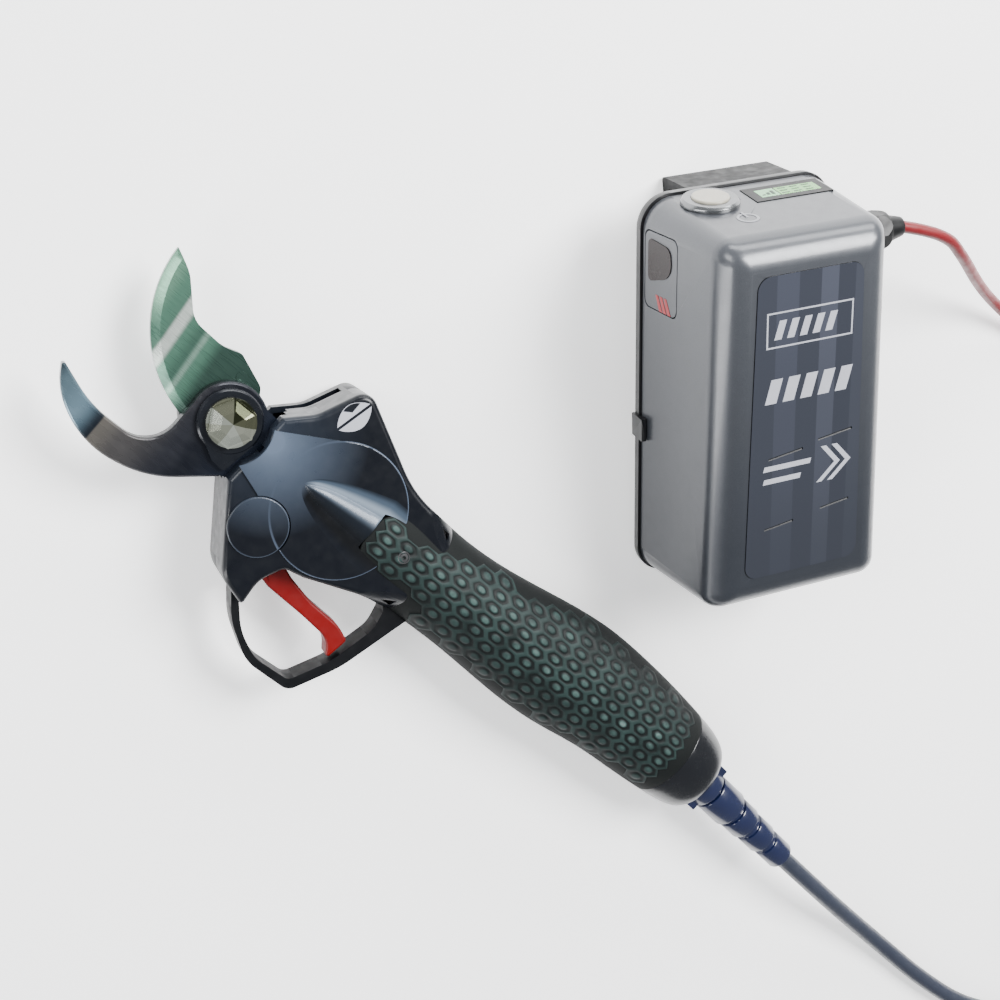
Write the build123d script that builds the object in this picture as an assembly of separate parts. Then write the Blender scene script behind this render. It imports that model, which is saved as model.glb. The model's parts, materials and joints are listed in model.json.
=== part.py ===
from build123d import *
import os
from math import atan, cos, pi, radians, sin, tan

# Battery electric pruner: hand tool, belt battery pack, and the leads between them.
# Millimetres.  The pruner lies on its side and the pack lies on its back, on the
# plane Z = 0.  Each half is drawn in its own frame and then placed.
#   pruner frame: origin on the blade pivot at mid thickness, +X down the handle,
#                 +Y towards the back of the handle, +Z out of the visible side
#   pack frame:   origin at the bottom of the back face, +X right, +Y up, +Z forward

# ---- placing ----
PRUNER_PIVOT = (-95.2, 63.2)
PRUNER_YAW = -42.9
HALF_THICK = 17.5               # pruner mid plane above the floor
PACK_FOOT = (109.0, -7.3)
PACK_YAW = 7.0
PACK_LEAN = 10.0                # the belt hook holds the top end up

# ---- blades ----
PIVOT_R = 5.0
PIVOT_FIT = 0.04                # radial running clearance
BLADE_SWING = 52.0
BLADE_Z = (-2.2, 2.0)
HOOK_Z = (2.3, 7.3)
SECTOR_Z = (-7.4, -2.4)
BLADE_HUB_R = 13.0
HOOK_BOSS_R = 13.4
HOOK_SCREWS = [(20.0, 5.0), (19.0, -6.0)]
SECTOR_RIVETS = 3
SECTOR_RIVET_R = 9.0
FITTING = (-5.2, 14.0)          # grease fitting on the blade

# ---- gear train ----
SHAFT_X = 48.5                  # cross shaft, on the pruner's X axis
MODULE = 1.0
SECTOR_TEETH = 80               # for the full circle
SECTOR_CUT_TEETH = 11
GEAR_BACKLASH = 0.2
PINION_TEETH = 17
BEVEL_TEETH = (36, 16)
BEVEL_FACE = 4.5
MOTOR_TILT = 2.6                # motor axis against the pruner's X axis
SHAFT_R = 4.0
OUTPUT_R = 3.0
GEARBOX_R = 11.4
GEARBOX_X = (24.0, 62.0)       # along the motor axis, from the cross shaft
MOTOR_R = 12.2
MOTOR_X = (62.0, 128.0)

# ---- head ----
HEAD_HALF = 14.0
HEAD_ROUND = 2.2
WALL = 2.2
COVER_R = 25.0
SMALL_COVER = (29.6, -21.7, 10.9)
TRIGGER_PIN = (41.0, -29.5)
TRIGGER_HALF = 4.0
GUARD_HALF = 5.0
SCREW_POSTS = [(33.6, 32.4), (70.5, 17.0), (33.5, -38.5), (72.5, -14.0)]

# ---- handle: x, centre y, half width, half thickness of each section ----
HANDLE = [
    (62.0, 1.8, 19.5, 15.9),
    (90.0, 1.8, 18.9, 16.3),
    (112.0, 2.4, 19.0, 16.8),
    (131.0, 3.6, 20.6, 17.3),
    (151.0, 5.2, 22.7, 17.5),
    (171.0, 7.0, 23.3, 17.5),
    (190.0, 8.3, 22.0, 17.3),
    (211.0, 8.3, 20.7, 16.8),
    (226.0, 8.0, 19.4, 16.0),
    (237.0, 7.7, 18.0, 14.9),
    (243.0, 7.5, 16.2, 13.4),
    (246.5, 7.4, 13.0, 10.8),
]
GRIP_THICK = 2.2
SHELL_THICK = 2.2
SHELL_START = 90.0
CAP_START = 226.0
TONGUE_X = 62.0                 # front of the grip's tongues on the head
RELIEF_AT = (247.0, 6.6)        # the strain relief leaves the cap here
RELIEF_TILT = -2.8
RELIEF_NECK_R = 5.2

# ---- pack ----
PACK_H = 150.0
PACK_TOP_W = 75.0
PACK_FOOT_W = 82.0
PACK_D = 57.0
PACK_CORNER = 11.0
PACK_DRAFT = 6.0                # degrees, all four sides of the front shell
PACK_ROUND = 11.0
PLATE_T = 5.0
PACK_WALL = 2.5
BUTTON = (-17.5, 17.0)          # x, z on the top face
BUTTON_R = (10.6, 6.8)          # flange, moving cap
BUTTON_TRAVEL = 1.6
DISPLAY = (13.5, 16.5, 31.0, 13.0)   # x, z, width, depth
POWER_RING = (-12.0, 34.5)
DOOR = (112.0, 140.0, 6.5, 27.0)     # y low, y high, z low, z high on the left side
CELL_COUNT = 10
CELL_SIZE = (56.0, 112.0, 3.7)
GLAND = (133.0, 30.0)           # y, z on the right side
PACK_SCREWS = [(-35.2, 12), (35.2, 12), (-33.8, 75), (33.8, 75), (-32.6, 138), (32.6, 138)]
HOOK_WIDTH = 44.0
HOOK_X = 7.0                    # to its middle, from the pack's
HOOK_BOLTS = [(-8, 118), (20, 118), (-8, 137), (20, 137)]

# ---- leads: route points on the plane Z = 0, chosen by hand ----
TOOL_LEAD_R = 3.75
PACK_LEAD_R = 2.25
TOOL_LEAD = [(131, -142, 17.5), (148, -159.4, 16.3), (170.5, -181.8, 10), (193.5, -203.8, 4.6),
             (217.5, -226.8, 3.8), (244.5, -247.8, 3.8), (275.5, -258.8, 3.8), (306.5, -253.8, 3.8),
             (334.5, -239.8, 3.8), (351.5, -214.8, 3.8),
             (357, -186.8, 3.8)]
COIL_CENTRE = (311.0, -186.8)   # two turns that wind inwards, side by side
COIL_R = (46.0, 30.0)
TOOL_TAIL = [(341, -186.8, 8.2), (341.6, -173.3, 11.2), (341.4, -159.8, 12.4), (340, -146.3, 12.0),
             (337.4, -132.8, 9.0), (334.6, -119.8, 7.2), (331.5, -107.8, 7.2)]
PACK_LEAD_MIDDLE = [(168, 121.2, 50), (184, 110.2, 41), (203, 98.7, 25), (222, 88.7, 11), (245, 74.7, 3.2),
                    (270, 53.7, 2.3), (291, 26.7, 3.0)]
PLUG_FROM = (331.5, -107.8)
PLUG_HEADING = 104.5            # degrees from +X
PLUG_L = 42.0
PLUG_R = 7.2


def pruner(shape):
    """Place a shape drawn in the pruner frame."""
    return Pos(*PRUNER_PIVOT, HALF_THICK) * Rot(0, 0, PRUNER_YAW) * shape


def pack(shape):
    """Place a shape drawn in the pack frame."""
    return Pos(*PACK_FOOT, 0) * Rot(0, 0, PACK_YAW) * Rot(PACK_LEAN, 0, 0) * shape


def slab(face, low, high):
    """Extrude a flat outline between two heights."""
    return Pos(0, 0, low) * extrude(face, amount=high - low, dir=(0, 0, 1))


def rod(x, y, radius, low, high):
    """Upright cylinder between two heights."""
    return Pos(x, y, (low + high) / 2) * Cylinder(radius, high - low)


def tube(x, y, outer, inner, low, high):
    return rod(x, y, outer, low, high) - rod(x, y, inner, low - 1, high + 1)


def rounded_face(*corners):
    """Closed face from (x, y, radius) corners; radius 0 leaves a corner sharp."""
    face = make_face(Polyline(*[(x, y) for x, y, _ in corners], close=True))
    for x, y, radius in corners:
        if radius:
            corner = face.vertices().sort_by_distance(Vector(x, y))[0]
            face = fillet(corner, radius)
    return face


def rim(shape, level):
    """Edges of a flat face at one height."""
    return shape.edges().filter_by_position(Axis.Z, level - 0.01, level + 0.01)


# =====================================================================  blades
def hook_blade():
    """Fixed counter blade: its tang is screwed under the front half of the head."""
    hook = rounded_face((-55.4, -18.0, 0.8), (-38, -24.6, 40), (-13.3, -24.2, 12), (-13.3, 0, 0), (11, 0, 0),
                        (9.5, -17, 1), (-9, -32.2, 40), (-33, -36.6, 34), (-49.5, -27.2, 26))
    tang = rounded_face((0, -12, 0), (9, -16.5, 0), (24, -11, 1.5), (27, 0, 3), (24, 9.5, 1.5),
                        (8, 11, 0), (0, 12, 0))
    body = slab(hook, *HOOK_Z)
    body = chamfer(rim(body, HOOK_Z[1]), 0.7) + slab(tang, *HOOK_Z)
    boss = rod(0, 0, HOOK_BOSS_R, *HOOK_Z)
    body += chamfer(rim(boss, HOOK_Z[1]), 0.8)
    body -= rod(0, 0, PIVOT_R + PIVOT_FIT, -20, 20)
    for x, y in HOOK_SCREWS:
        body -= rod(x, y, 2.05, 0, 20)
        body -= Pos(x, y, HOOK_Z[0] + 1.0) * Cone(3.6, 2.05, 2.0)
    return body


def blade_face():
    back = FilletPolyline((-49, 33.6), (-41, 29.6), (-30, 18.4), (-17, 17.9), (-10.3, 20.2), (2, 15.6), (5, 11),
                          radius=[15, 9, 12, 2.5, 4])
    edge = ThreePointArc((-13.0, -8.8), (-36.4, 4.3), (-49, 33.6))
    root = Polyline((5, 11), (0, 0), (-13.0, -8.8))
    return make_face([back, root, edge]) + Circle(BLADE_HUB_R)


def cutting_blade():
    """Moving blade, ground along its cutting edge, turning on the pivot bolt."""
    body = slab(blade_face(), *BLADE_Z)
    ground = [e for e in rim(body, BLADE_Z[1]) if e.geom_type == GeomType.CIRCLE and e.radius > 20]
    body = chamfer(ground, 1.4, 3.0)
    body -= rod(0, 0, PIVOT_R + PIVOT_FIT, -20, 20)
    for x, y in rivet_places():
        body -= rod(x, y, 1.5, -20, 20)
    return body - rod(*FITTING, 1.5, -20, 20)


def rivet_places():
    return [(SECTOR_RIVET_R * cos(a), SECTOR_RIVET_R * sin(a))
            for a in (radians(120 * i - 25) for i in range(SECTOR_RIVETS))]


def involute_gear(module, teeth, bore, backlash, first=0, count=None):
    """Face of a spur gear, tooth 0 centred on +X; count limits it to a sector's teeth."""
    pitch_r = module * teeth / 2
    base_r = pitch_r * cos(radians(20))
    root_r = pitch_r - 1.25 * module
    tip_r = pitch_r + module
    half = pi / (2 * teeth) - backlash / (2 * pitch_r)
    inv = tan(radians(20)) - radians(20)

    def flank(r):
        if r <= base_r:
            return half + inv
        t = ((r / base_r) ** 2 - 1) ** 0.5
        return half + inv - (t - atan(t))

    start = max(base_r, root_r)
    radii = ([root_r] if base_r > root_r else []) + [start + (tip_r - start) * k / 3 for k in range(4)]
    picked = range(first, first + (count or teeth))
    points = []
    for tooth in picked:
        middle = 2 * pi * tooth / teeth
        side = [(r, flank(r)) for r in radii]
        points += [(r * cos(middle - a), r * sin(middle - a)) for r, a in side]
        points += [(r * cos(middle + a), r * sin(middle + a)) for r, a in reversed(side)]
    if count:
        points.append((0, 0))
    face = make_face(Polyline(*points, close=True))
    return face - Circle(bore) if bore else face


def drive_sector():
    """Toothed sector riveted under the cutting blade."""
    teeth = involute_gear(MODULE, SECTOR_TEETH, 0, GEAR_BACKLASH, -(SECTOR_CUT_TEETH // 2), SECTOR_CUT_TEETH)
    window = Pos(22.5, 0) * RectangleRounded(13, 10, 2)
    body = slab(Rot(0, 0, sector_rest()) * (teeth - window), *SECTOR_Z)
    body += rod(0, 0, BLADE_HUB_R, *SECTOR_Z)
    body -= rod(0, 0, PIVOT_R + PIVOT_FIT, -20, 20)
    for x, y in rivet_places():
        body -= rod(x, y, 1.5, -20, 20)
    return body


def sector_rest():
    """Angle of the sector's middle tooth at rest, with the blade open."""
    return -BLADE_SWING / 2


def sector_rivets():
    return [rod(x, y, 1.49, SECTOR_Z[0] + 0.1, BLADE_Z[1] - 0.1) for x, y in rivet_places()]


def blade_fitting():
    """Grease fitting with a ring flange on the blade's heel."""
    body = rod(*FITTING, 1.49, BLADE_Z[0] + 0.4, BLADE_Z[1] + 0.2)
    return body + tube(*FITTING, 2.0, 1.1, BLADE_Z[1], BLADE_Z[1] + 0.25)


def pivot_bolt():
    """Bolt with a six-faceted domed head; its shank carries hook and blade."""
    head = Pos(0, 0, 10.9) * extrude(RegularPolygon(8.7, 6), amount=1.6)
    head &= rod(0, 0, 8.6, 10, 13)
    head += rod(0, 0, 8.6, 9.5, 11.2)
    facets = Pos(0, 0, 12.45) * extrude(RegularPolygon(8.0, 6), amount=1.6, taper=62)
    shank = rod(0, 0, PIVOT_R, -15.5, 10)
    return head + facets + shank


def lock_ring():
    """Dark collar under the bolt head, with the tail that takes its lock screw."""
    tail = rounded_face((-9.0, -7.0, 0), (3.5, -14.0, 1.5), (9.0, -14.5, 1.5), (11.3, -1.5, 0))
    ring = rod(0, 0, 11.4, HOOK_Z[1], 9.5)
    body = chamfer(rim(ring, 9.5), 0.7) + slab(tail, HOOK_Z[1], 9.2)
    return body - rod(0, 0, PIVOT_R + PIVOT_FIT, 0, 20)


def pivot_nut():
    """Thin locking nut on the hidden side; the tool rests on it."""
    body = Pos(0, 0, -HALF_THICK) * extrude(RegularPolygon(9.2, 6), amount=3.3)
    return body - rod(0, 0, PIVOT_R, -20, -10)


def pivot_bush():
    """Flanged bronze bush in the rear half of the head."""
    return tube(0, 0, 7.0, PIVOT_R + PIVOT_FIT, -HEAD_HALF, SECTOR_Z[0] - 0.2)


# =====================================================================  head
def head_face():
    """Side outline of the head, from the blade neck back to the handle."""
    return rounded_face((12.0, 12.4, 0.6), (20.3, 20.6, 12), (29.0, 39.2, 5.5), (66, 21.6, 45),
                        (SHELL_START, 20.4, 0), (SHELL_START, -17.2, 0), (78, -17.6, 30), (54.5, -26.0, 4), (47.0, -27.6, 3),
                        (42.6, -36, 12), (43.6, -46.5, 1.0), (31.5, -43.0, 12), (11.0, -15.4, 0.6))


def handle_section(x, centre, half_w, half_t, inset=0.0):
    """Ellipse across the handle, standing at x."""
    plane = Plane(origin=(x, centre, 0), x_dir=(0, 1, 0), z_dir=(1, 0, 0))
    return plane * Ellipse(half_w - inset, half_t - inset)


def handle_body(inset=0.0, start=0.0, end=400.0):
    """Solid form of the handle, shrunk by an inset and cut to a stretch of X."""
    body = loft([handle_section(*row, inset) for row in HANDLE])
    box = Pos((start + end) / 2, 0, 0) * Box(end - start, 200, 200)
    return body & box


def head_envelope():
    """Round form that the head's rear end blends into, where the handle joins."""
    wide = Plane(origin=(66, 1.8, 0), x_dir=(0, 1, 0), z_dir=(1, 0, 0)) * RectangleRounded(56, 33, 10)
    near = handle_section(SHELL_START + 0.01, 1.8, 18.9, 16.3)
    rear = loft([wide, near])
    front = Pos(16, 0, 0) * Box(100, 160, 60)
    return front + rear


def head_block():
    """Outer form of both halves of the head, before it is hollowed."""
    body = slab(head_face(), -HEAD_HALF, HEAD_HALF)
    rims = [e for level in (HEAD_HALF, -HEAD_HALF) for e in rim(body, level)]
    return fillet(rims, HEAD_ROUND) & head_envelope()


def head_cavity():
    """Space inside the head for the gear train."""
    face = offset(head_face(), amount=-WALL)
    return slab(face, -HEAD_HALF + WALL, HEAD_HALF - WALL)


def neck_cut():
    """Room at the head's neck for the blade hub, the sector's web and the hook boss."""
    web = rod(0, 0, 21.0, SECTOR_Z[0] - 0.5, BLADE_Z[1] + 0.3)
    boss = rod(0, 0, HOOK_BOSS_R + 0.4, BLADE_Z[1], HEAD_HALF + 1)
    tang = Pos(10, -1, 0) * slab(Rectangle(40, 30), HOOK_Z[0] - 0.2, HOOK_Z[1] + 0.1)
    return web + boss + tang + sector_sweep()


def sector_sweep():
    """Room that the sector swings in; at full close its end comes out of the back wall."""
    reach = MODULE * (SECTOR_TEETH / 2 + 1) + 0.9
    low, high = radians(-52.4), radians(54.0)
    wedge = make_face(Polyline((0, 0), (90 * cos(low), 90 * sin(low)), (90, 0), (90 * cos(high), 90 * sin(high)),
                               close=True))
    return slab(wedge & Circle(reach), SECTOR_Z[0] - 0.4, SECTOR_Z[1] + 0.3)


def screw_posts(low, high):
    return [rod(x, y, 3.6, low, high) for x, y in SCREW_POSTS]


def bearing_seats():
    return rod(SHAFT_X, 0, 10.2, -HEAD_HALF, -8.6)


def motor_axis(shape):
    """Turn a shape drawn along +X from the cross shaft on to the motor's axis."""
    return Pos(SHAFT_X, 0, 0) * Rot(0, 0, MOTOR_TILT) * shape


def barrel(start, end, radius):
    """Round solid along +X between two distances from the cross shaft."""
    return Pos((start + end) / 2, 0, 0) * Rot(0, 90, 0) * Cylinder(radius, end - start)


def head_rear():
    """Hidden half of the head: floor, bush boss, lower bearing seat and screw posts."""
    half = Pos(45, 0, -50) * Box(300, 300, 100)
    body = (head_block() & half) - head_cavity()
    body += rod(0, 0, 14.6, -HEAD_HALF, SECTOR_Z[0] - 0.5)
    body += bearing_seats()
    for post in screw_posts(-HEAD_HALF + 1, 0):
        body += post
    body &= head_block() + rod(0, 0, 14.6, -HEAD_HALF, 0)
    body -= neck_cut()
    body -= rod(0, 0, 7.0, -20, 20) + rod(SHAFT_X, 0, 8.02, -12.0, 0)
    body -= motor_axis(barrel(10, 100, GEARBOX_R + 0.1))
    for x, y in SCREW_POSTS:
        body -= rod(x, y, 1.6, -20, 1) + rod(x, y, 3.0, -20, 2.6 - HEAD_HALF)
    return body - trigger_slot()


def head_front():
    """Visible half of the head, with the seats of the two round covers."""
    half = Pos(45, 0, 50) * Box(300, 300, 100)
    body = (head_block() & half) - head_cavity()
    pads = [rod(x, y, 4.4, HOOK_Z[1] + 0.1, HEAD_HALF - 1) for x, y in HOOK_SCREWS]
    for post in screw_posts(0, HEAD_HALF - 1) + pads:
        body += post
    body &= head_block()
    body -= neck_cut()
    body -= rod(SHAFT_X, 0, COVER_R, HEAD_HALF - 1.4, 20) + rod(SHAFT_X, 0, COVER_R - 3, 0, 20)
    x, y, radius = SMALL_COVER
    body -= rod(x, y, radius, HEAD_HALF - 1.2, 20) + rod(x, y, radius - 3, 0, 20)
    body -= motor_axis(barrel(10, 100, GEARBOX_R + 0.1))
    for x, y in HOOK_SCREWS:
        body -= rod(x, y, 2.0, 0, 12.2)
    for x, y in SCREW_POSTS:
        body -= rod(x, y, 1.25, -1, 11)
    body -= rod(*TRIGGER_PIN, 3.3, 0, TRIGGER_HALF + 4.7) + rod(*TRIGGER_PIN, 1.5, 0, HEAD_HALF - WALL)
    return body - trigger_slot()


def trigger_slot():
    """Opening in the head's throat wall that the trigger swings in."""
    opening = rounded_face((38, -40.5, 0), (60, -40.5, 0), (60, -24.5, 0), (38, -24.5, 0))
    return slab(opening, -TRIGGER_HALF - 0.4, TRIGGER_HALF + 0.4) & Pos(49, 0, 0) * Box(20, 200, 50)


# =====================================================================  gear train
def cross_shaft():
    return rod(SHAFT_X, 0, SHAFT_R, -11.8, 13.6)


def ball_bearing(x, y, outer, inner, low, high):
    """Outer ring, inner ring and balls of one bearing."""
    middle, height, ball = (outer + inner) / 2, high - low, (outer - inner) * 0.22
    groove = Pos(x, y, (low + high) / 2) * Torus(middle, ball * 1.02)
    rings = [tube(x, y, outer, middle + ball * 0.55, low, high) - groove,
             tube(x, y, middle - ball * 0.55, inner, low, high) - groove]
    balls = [Pos(x, y, low + height / 2) * Rot(0, 0, angle) * Pos(middle, 0, 0) * Sphere(ball)
             for angle in range(0, 360, 45)]
    return rings + balls


def spur_pinion():
    """Pinion pressed on the cross shaft, in mesh with the sector."""
    face = involute_gear(MODULE, PINION_TEETH, SHAFT_R, GEAR_BACKLASH)
    return Pos(SHAFT_X, 0, 0) * slab(Rot(0, 0, 180 + 180 / PINION_TEETH + pinion_phase()) * face, *SECTOR_Z)


def pinion_phase():
    """Turn of the pinion that meets the sector as it stands at rest."""
    return BLADE_SWING / 2 * SECTOR_TEETH / PINION_TEETH


def bevel_radii():
    """Outer pitch radii of the bevel wheel and its pinion, and the inner end as a share of them."""
    wheel_r, pinion_r = (MODULE * teeth / 2 for teeth in BEVEL_TEETH)
    return wheel_r, pinion_r, 1 - BEVEL_FACE / wheel_r


def bevel_gear():
    """Bevel wheel on the cross shaft, teeth down towards the motor axis."""
    wheel_r, pinion_r, inner = bevel_radii()
    count = BEVEL_TEETH[0]
    blank = Polyline((SHAFT_R, pinion_r * inner + 1.2), (wheel_r * inner, pinion_r * inner + 1.2),
                     (wheel_r + 0.4, pinion_r + 1.25), (wheel_r + 0.4, 11.4), (SHAFT_R, 11.4), close=True)
    body = revolve(Plane.XZ * make_face(blank), Axis.Z)
    for k in range(count):
        body += Rot(0, 0, (k + 0.5) * 360 / count) * bevel_tooth(wheel_r, pinion_r, inner)
    return Pos(SHAFT_X, 0, 0) * Rot(0, 0, MOTOR_TILT) * body


def bevel_tooth(wheel_r, pinion_r, inner):
    """One straight tooth that narrows towards the shafts' meeting point."""
    ends = []
    for scale in (1.0, inner):
        half_root, half_tip = 0.98 * scale, 0.38 * scale
        low, high = -0.92 * scale, 1.5 * scale
        face = make_face(Polyline((-half_root, high), (half_root, high), (half_tip, low), (-half_tip, low),
                                  close=True))
        plane = Plane(origin=(wheel_r * scale, 0, pinion_r * scale), x_dir=(0, 1, 0), z_dir=(1, 0, 0))
        ends.append(plane * face)
    return loft(ends, ruled=True)


def bevel_pinion():
    """Bevel pinion on the gearbox's output shaft."""
    wheel_r, _, inner = bevel_radii()
    ends = []
    for scale in (1.0, inner):
        face = involute_gear(MODULE * scale, BEVEL_TEETH[1], 0, GEAR_BACKLASH * scale)
        plane = Plane(origin=(wheel_r * scale, 0, 0), x_dir=(0, 0, 1), z_dir=(1, 0, 0))
        ends.append(plane * face)
    return motor_axis(loft(ends, ruled=True) - barrel(0, 40, OUTPUT_R))


def output_shaft():
    wheel_r, _, _ = bevel_radii()
    return motor_axis(barrel(wheel_r - BEVEL_FACE - 0.3, GEARBOX_X[0] + 6, OUTPUT_R))


def gearbox():
    """Sealed reduction gearbox between the motor and the bevel pinion."""
    body = barrel(*GEARBOX_X, GEARBOX_R) + barrel(GEARBOX_X[0] - 2.5, GEARBOX_X[0], 7.0)
    return motor_axis(body - barrel(0, GEARBOX_X[0] + 7, OUTPUT_R + 0.05))


def motor_can():
    """Motor case and its magnet ring; the rotor turns inside them."""
    start, end = MOTOR_X
    body = barrel(start, end, MOTOR_R) - barrel(start + 2, end - 2, MOTOR_R - 1.5)
    magnets = barrel(start + 8, end - 10, MOTOR_R - 1.6) - barrel(start, end, MOTOR_R - 4.0)
    return [motor_axis(body - barrel(start - 1, end + 1, 2.05)), motor_axis(magnets)]


def motor_rotor():
    start, end = MOTOR_X
    body = barrel(start + 0.3, end + 4, 2.0) + barrel(start + 9, end - 11, MOTOR_R - 4.5)
    slots = [Rot(angle, 0, 0) * (Pos((start + end) / 2, 0, MOTOR_R - 5.5) * Box(end - start, 1.2, 3.4))
             for angle in range(0, 360, 40)]
    for slot in slots:
        body -= slot
    return motor_axis(body)


def control_board():
    """Motor driver board behind the motor, with its parts."""
    board = Pos(153, 0, 0) * Box(40, 24, 1.6)
    chips = [Pos(138 + 9 * k, 6 if k % 2 else -6, 1.9) * Box(6.5, 6.5, 2.2) for k in range(4)]
    caps = [Pos(167, side * 6, 0.8) * Pos(0, 0, 4) * Cylinder(3.0, 8) for side in (-1, 1)]
    return [motor_axis(piece) for piece in [board] + chips + caps]


# =====================================================================  covers, trigger, guard
def gear_cover():
    """Round cover over the bevel wheel, with the pointed hump of the motor housing."""
    disc = rod(SHAFT_X, 0, COVER_R - 0.1, HEAD_HALF - 1.4, HEAD_HALF + 0.7)
    disc = fillet(rim(disc, HEAD_HALF + 0.7), 0.6)
    disc += rod(SHAFT_X, 0, COVER_R - 3.1, HEAD_HALF - 2.4, HEAD_HALF - 1) + cover_apron()
    sections = [(32.0, -0.4, 0.8, 14.4), (34.2, -0.2, 4.4, 15.3), (39.0, 0.3, 7.4, 16.0), (48.0, 1.0, 9.8, 16.4),
                (62.0, 1.8, 12.6, 16.6), (72.5, 1.9, 13.2, 16.6)]
    hump = loft([handle_section(*row) for row in sections])
    hump &= rod(SHAFT_X, 0, COVER_R - 0.1, HEAD_HALF - 1, 20)
    hump -= Pos(-0.3, 0, 0) * tongue_mask()
    x, y, radius = SMALL_COVER
    body = disc + hump - rod(x, y, radius + 0.3, 0, 30)
    body -= handle_body(0.0, TONGUE_X - 0.3, 100) & Pos(0, 0, 60) * Box(400, 400, 120 - 0.001)
    return body - rod(SHAFT_X, 0, SHAFT_R + 0.05, 0, 13.8)


def cover_apron():
    """Flat tongue of the gear cover that reaches forward to the pivot's boss."""
    face = rounded_face((10.5, 6.4, 0), (33.0, 19.4, 30), (43.0, 24.2, 0), (46.0, 0, 0), (40.0, -22.5, 0),
                        (21.3, -12.9, 0), (10.5, -9.4, 0))
    return slab(face - Circle(HOOK_BOSS_R + 0.6), HEAD_HALF, HEAD_HALF + 0.7)


def small_cover():
    x, y, radius = SMALL_COVER
    disc = rod(x, y, radius - 0.1, HEAD_HALF - 1.2, HEAD_HALF + 0.7)
    return fillet(rim(disc, HEAD_HALF + 0.7), 0.6)


def trigger():
    """Finger lever: a flat root on its pin and a curved finger part."""
    face = rounded_face((37.5, -26.5, 2), (44, -25.5, 2), (55, -29.5, 6), (66, -31.9, 20), (80, -32.6, 14),
                        (86.3, -35.0, 1.5), (84.6, -45.2, 1.0), (79.5, -38.8, 8), (66, -37.6, 20),
                        (50, -36.9, 6), (38, -34.0, 2))
    body = slab(face, -TRIGGER_HALF, TRIGGER_HALF)
    rims = [e for level in (TRIGGER_HALF, -TRIGGER_HALF) for e in rim(body, level)]
    body = fillet(rims, 0.9)
    return body - rod(*TRIGGER_PIN, 1.54, -20, 20)


def trigger_pin():
    return rod(*TRIGGER_PIN, 1.5, -HEAD_HALF + WALL + 0.05, HEAD_HALF - WALL - 0.05)


def guard_face():
    outer = rounded_face((38.5, -44.0, 0), (47.0, -54.0, 30), (61.0, -62.4, 16), (80.5, -62.0, 5),
                         (90.5, -44.0, 40), (98.8, -16.2, 0), (84.0, -16.2, 0), (84.0, -19.0, 0), (40.0, -19.0, 0))
    inner = rounded_face((42.0, -44.2, 3), (52.0, -54.6, 24), (62.5, -59.6, 14), (78.0, -58.8, 4),
                         (86.2, -44.0, 30), (91.0, -26.0, 12), (89.0, -17.0, 3), (40, -17.0, 0))
    return outer - inner


def trigger_guard():
    """Bow round the trigger, from the chin of the head to the handle."""
    body = slab(guard_face(), -GUARD_HALF, GUARD_HALF)
    body &= Pos(70, -45, 0) * Box(70, 60, 20)
    body -= head_block() + handle_body(-0.02, 62, 130)
    return body.solids().sort_by(SortBy.VOLUME)[-1]


def lever_spring():
    """Torsion spring of the trigger, round its pin."""
    coil = tube(*TRIGGER_PIN, 3.0, 1.8, TRIGGER_HALF + 0.6, TRIGGER_HALF + 4.4)
    leg = Pos(TRIGGER_PIN[0] - 3, TRIGGER_PIN[1] + 2.4, TRIGGER_HALF + 0.9) * Box(6, 0.8, 0.6)
    return coil + leg


def sensor_board():
    """Small board that reads the trigger's magnet."""
    return Pos(33.0, -23.5, -10.6) * Box(12, 10, 1.6)


# =====================================================================  handle
def tongue_mask():
    """Side view limits of the rubber grip: a rounded tongue in front, square behind."""
    face = rounded_face((TONGUE_X, 9.6, 7), (74, 14.4, 8), (90.3, 24, 0), (90.3, 50, 0), (CAP_START, 50, 0),
                        (CAP_START, -50, 0), (90.3, -50, 0), (90.3, -21, 0), (76, -10.8, 8), (TONGUE_X, -7.0, 7))
    return slab(face, -50, 50)


def rubber_grip():
    """Moulded rubber sleeve over the handle, with a tongue on each face of the head."""
    sleeve = handle_body(0, TONGUE_X, CAP_START) - handle_body(GRIP_THICK, TONGUE_X, 400)
    sleeve &= tongue_mask()
    sleeve -= head_block()
    return sleeve.solids().sort_by(SortBy.VOLUME)[-1]


def handle_shell(side):
    """One half of the hard shell under the grip; side is +1 for the visible half."""
    body = handle_body(GRIP_THICK, SHELL_START + 0.1, CAP_START - 0.1)
    body -= handle_body(GRIP_THICK + SHELL_THICK, SHELL_START - 10, CAP_START + 10)
    half = Pos(150, 0, side * 50) * Box(300, 300, 100)
    return body & half


def end_cap():
    """Closed rear cap with the seat of the lead's strain relief."""
    body = handle_body(0, CAP_START + 0.05, 400)
    body -= handle_body(3.0, 0, 243.0)
    return body - relief_axis(barrel(-14, 10, RELIEF_NECK_R))


def relief_axis(shape):
    """Turn a shape drawn along +X on to the strain relief's axis."""
    return Pos(*RELIEF_AT, 0) * Rot(0, 0, RELIEF_TILT) * shape


def strain_relief():
    """Ribbed rubber boot: neck in the cap, eared collar, and four shrinking blocks."""
    body = barrel(-8, 0, RELIEF_NECK_R - 0.05) + barrel(0, 7, 8.6)
    body += Pos(3, 0, 0) * Box(6, 21, 9)
    body += Pos(33, 0, 0) * Rot(0, 90, 0) * Cone(6.6, 4.6, 52)
    for start, length, radius in ((8.5, 13.5, 8.1), (24.5, 8.5, 7.3), (36.0, 9.0, 6.7), (48.0, 10.0, 6.1)):
        body += barrel(start, start + length, radius)
    return relief_axis(body - barrel(-10, 70, TOOL_LEAD_R))


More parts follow.
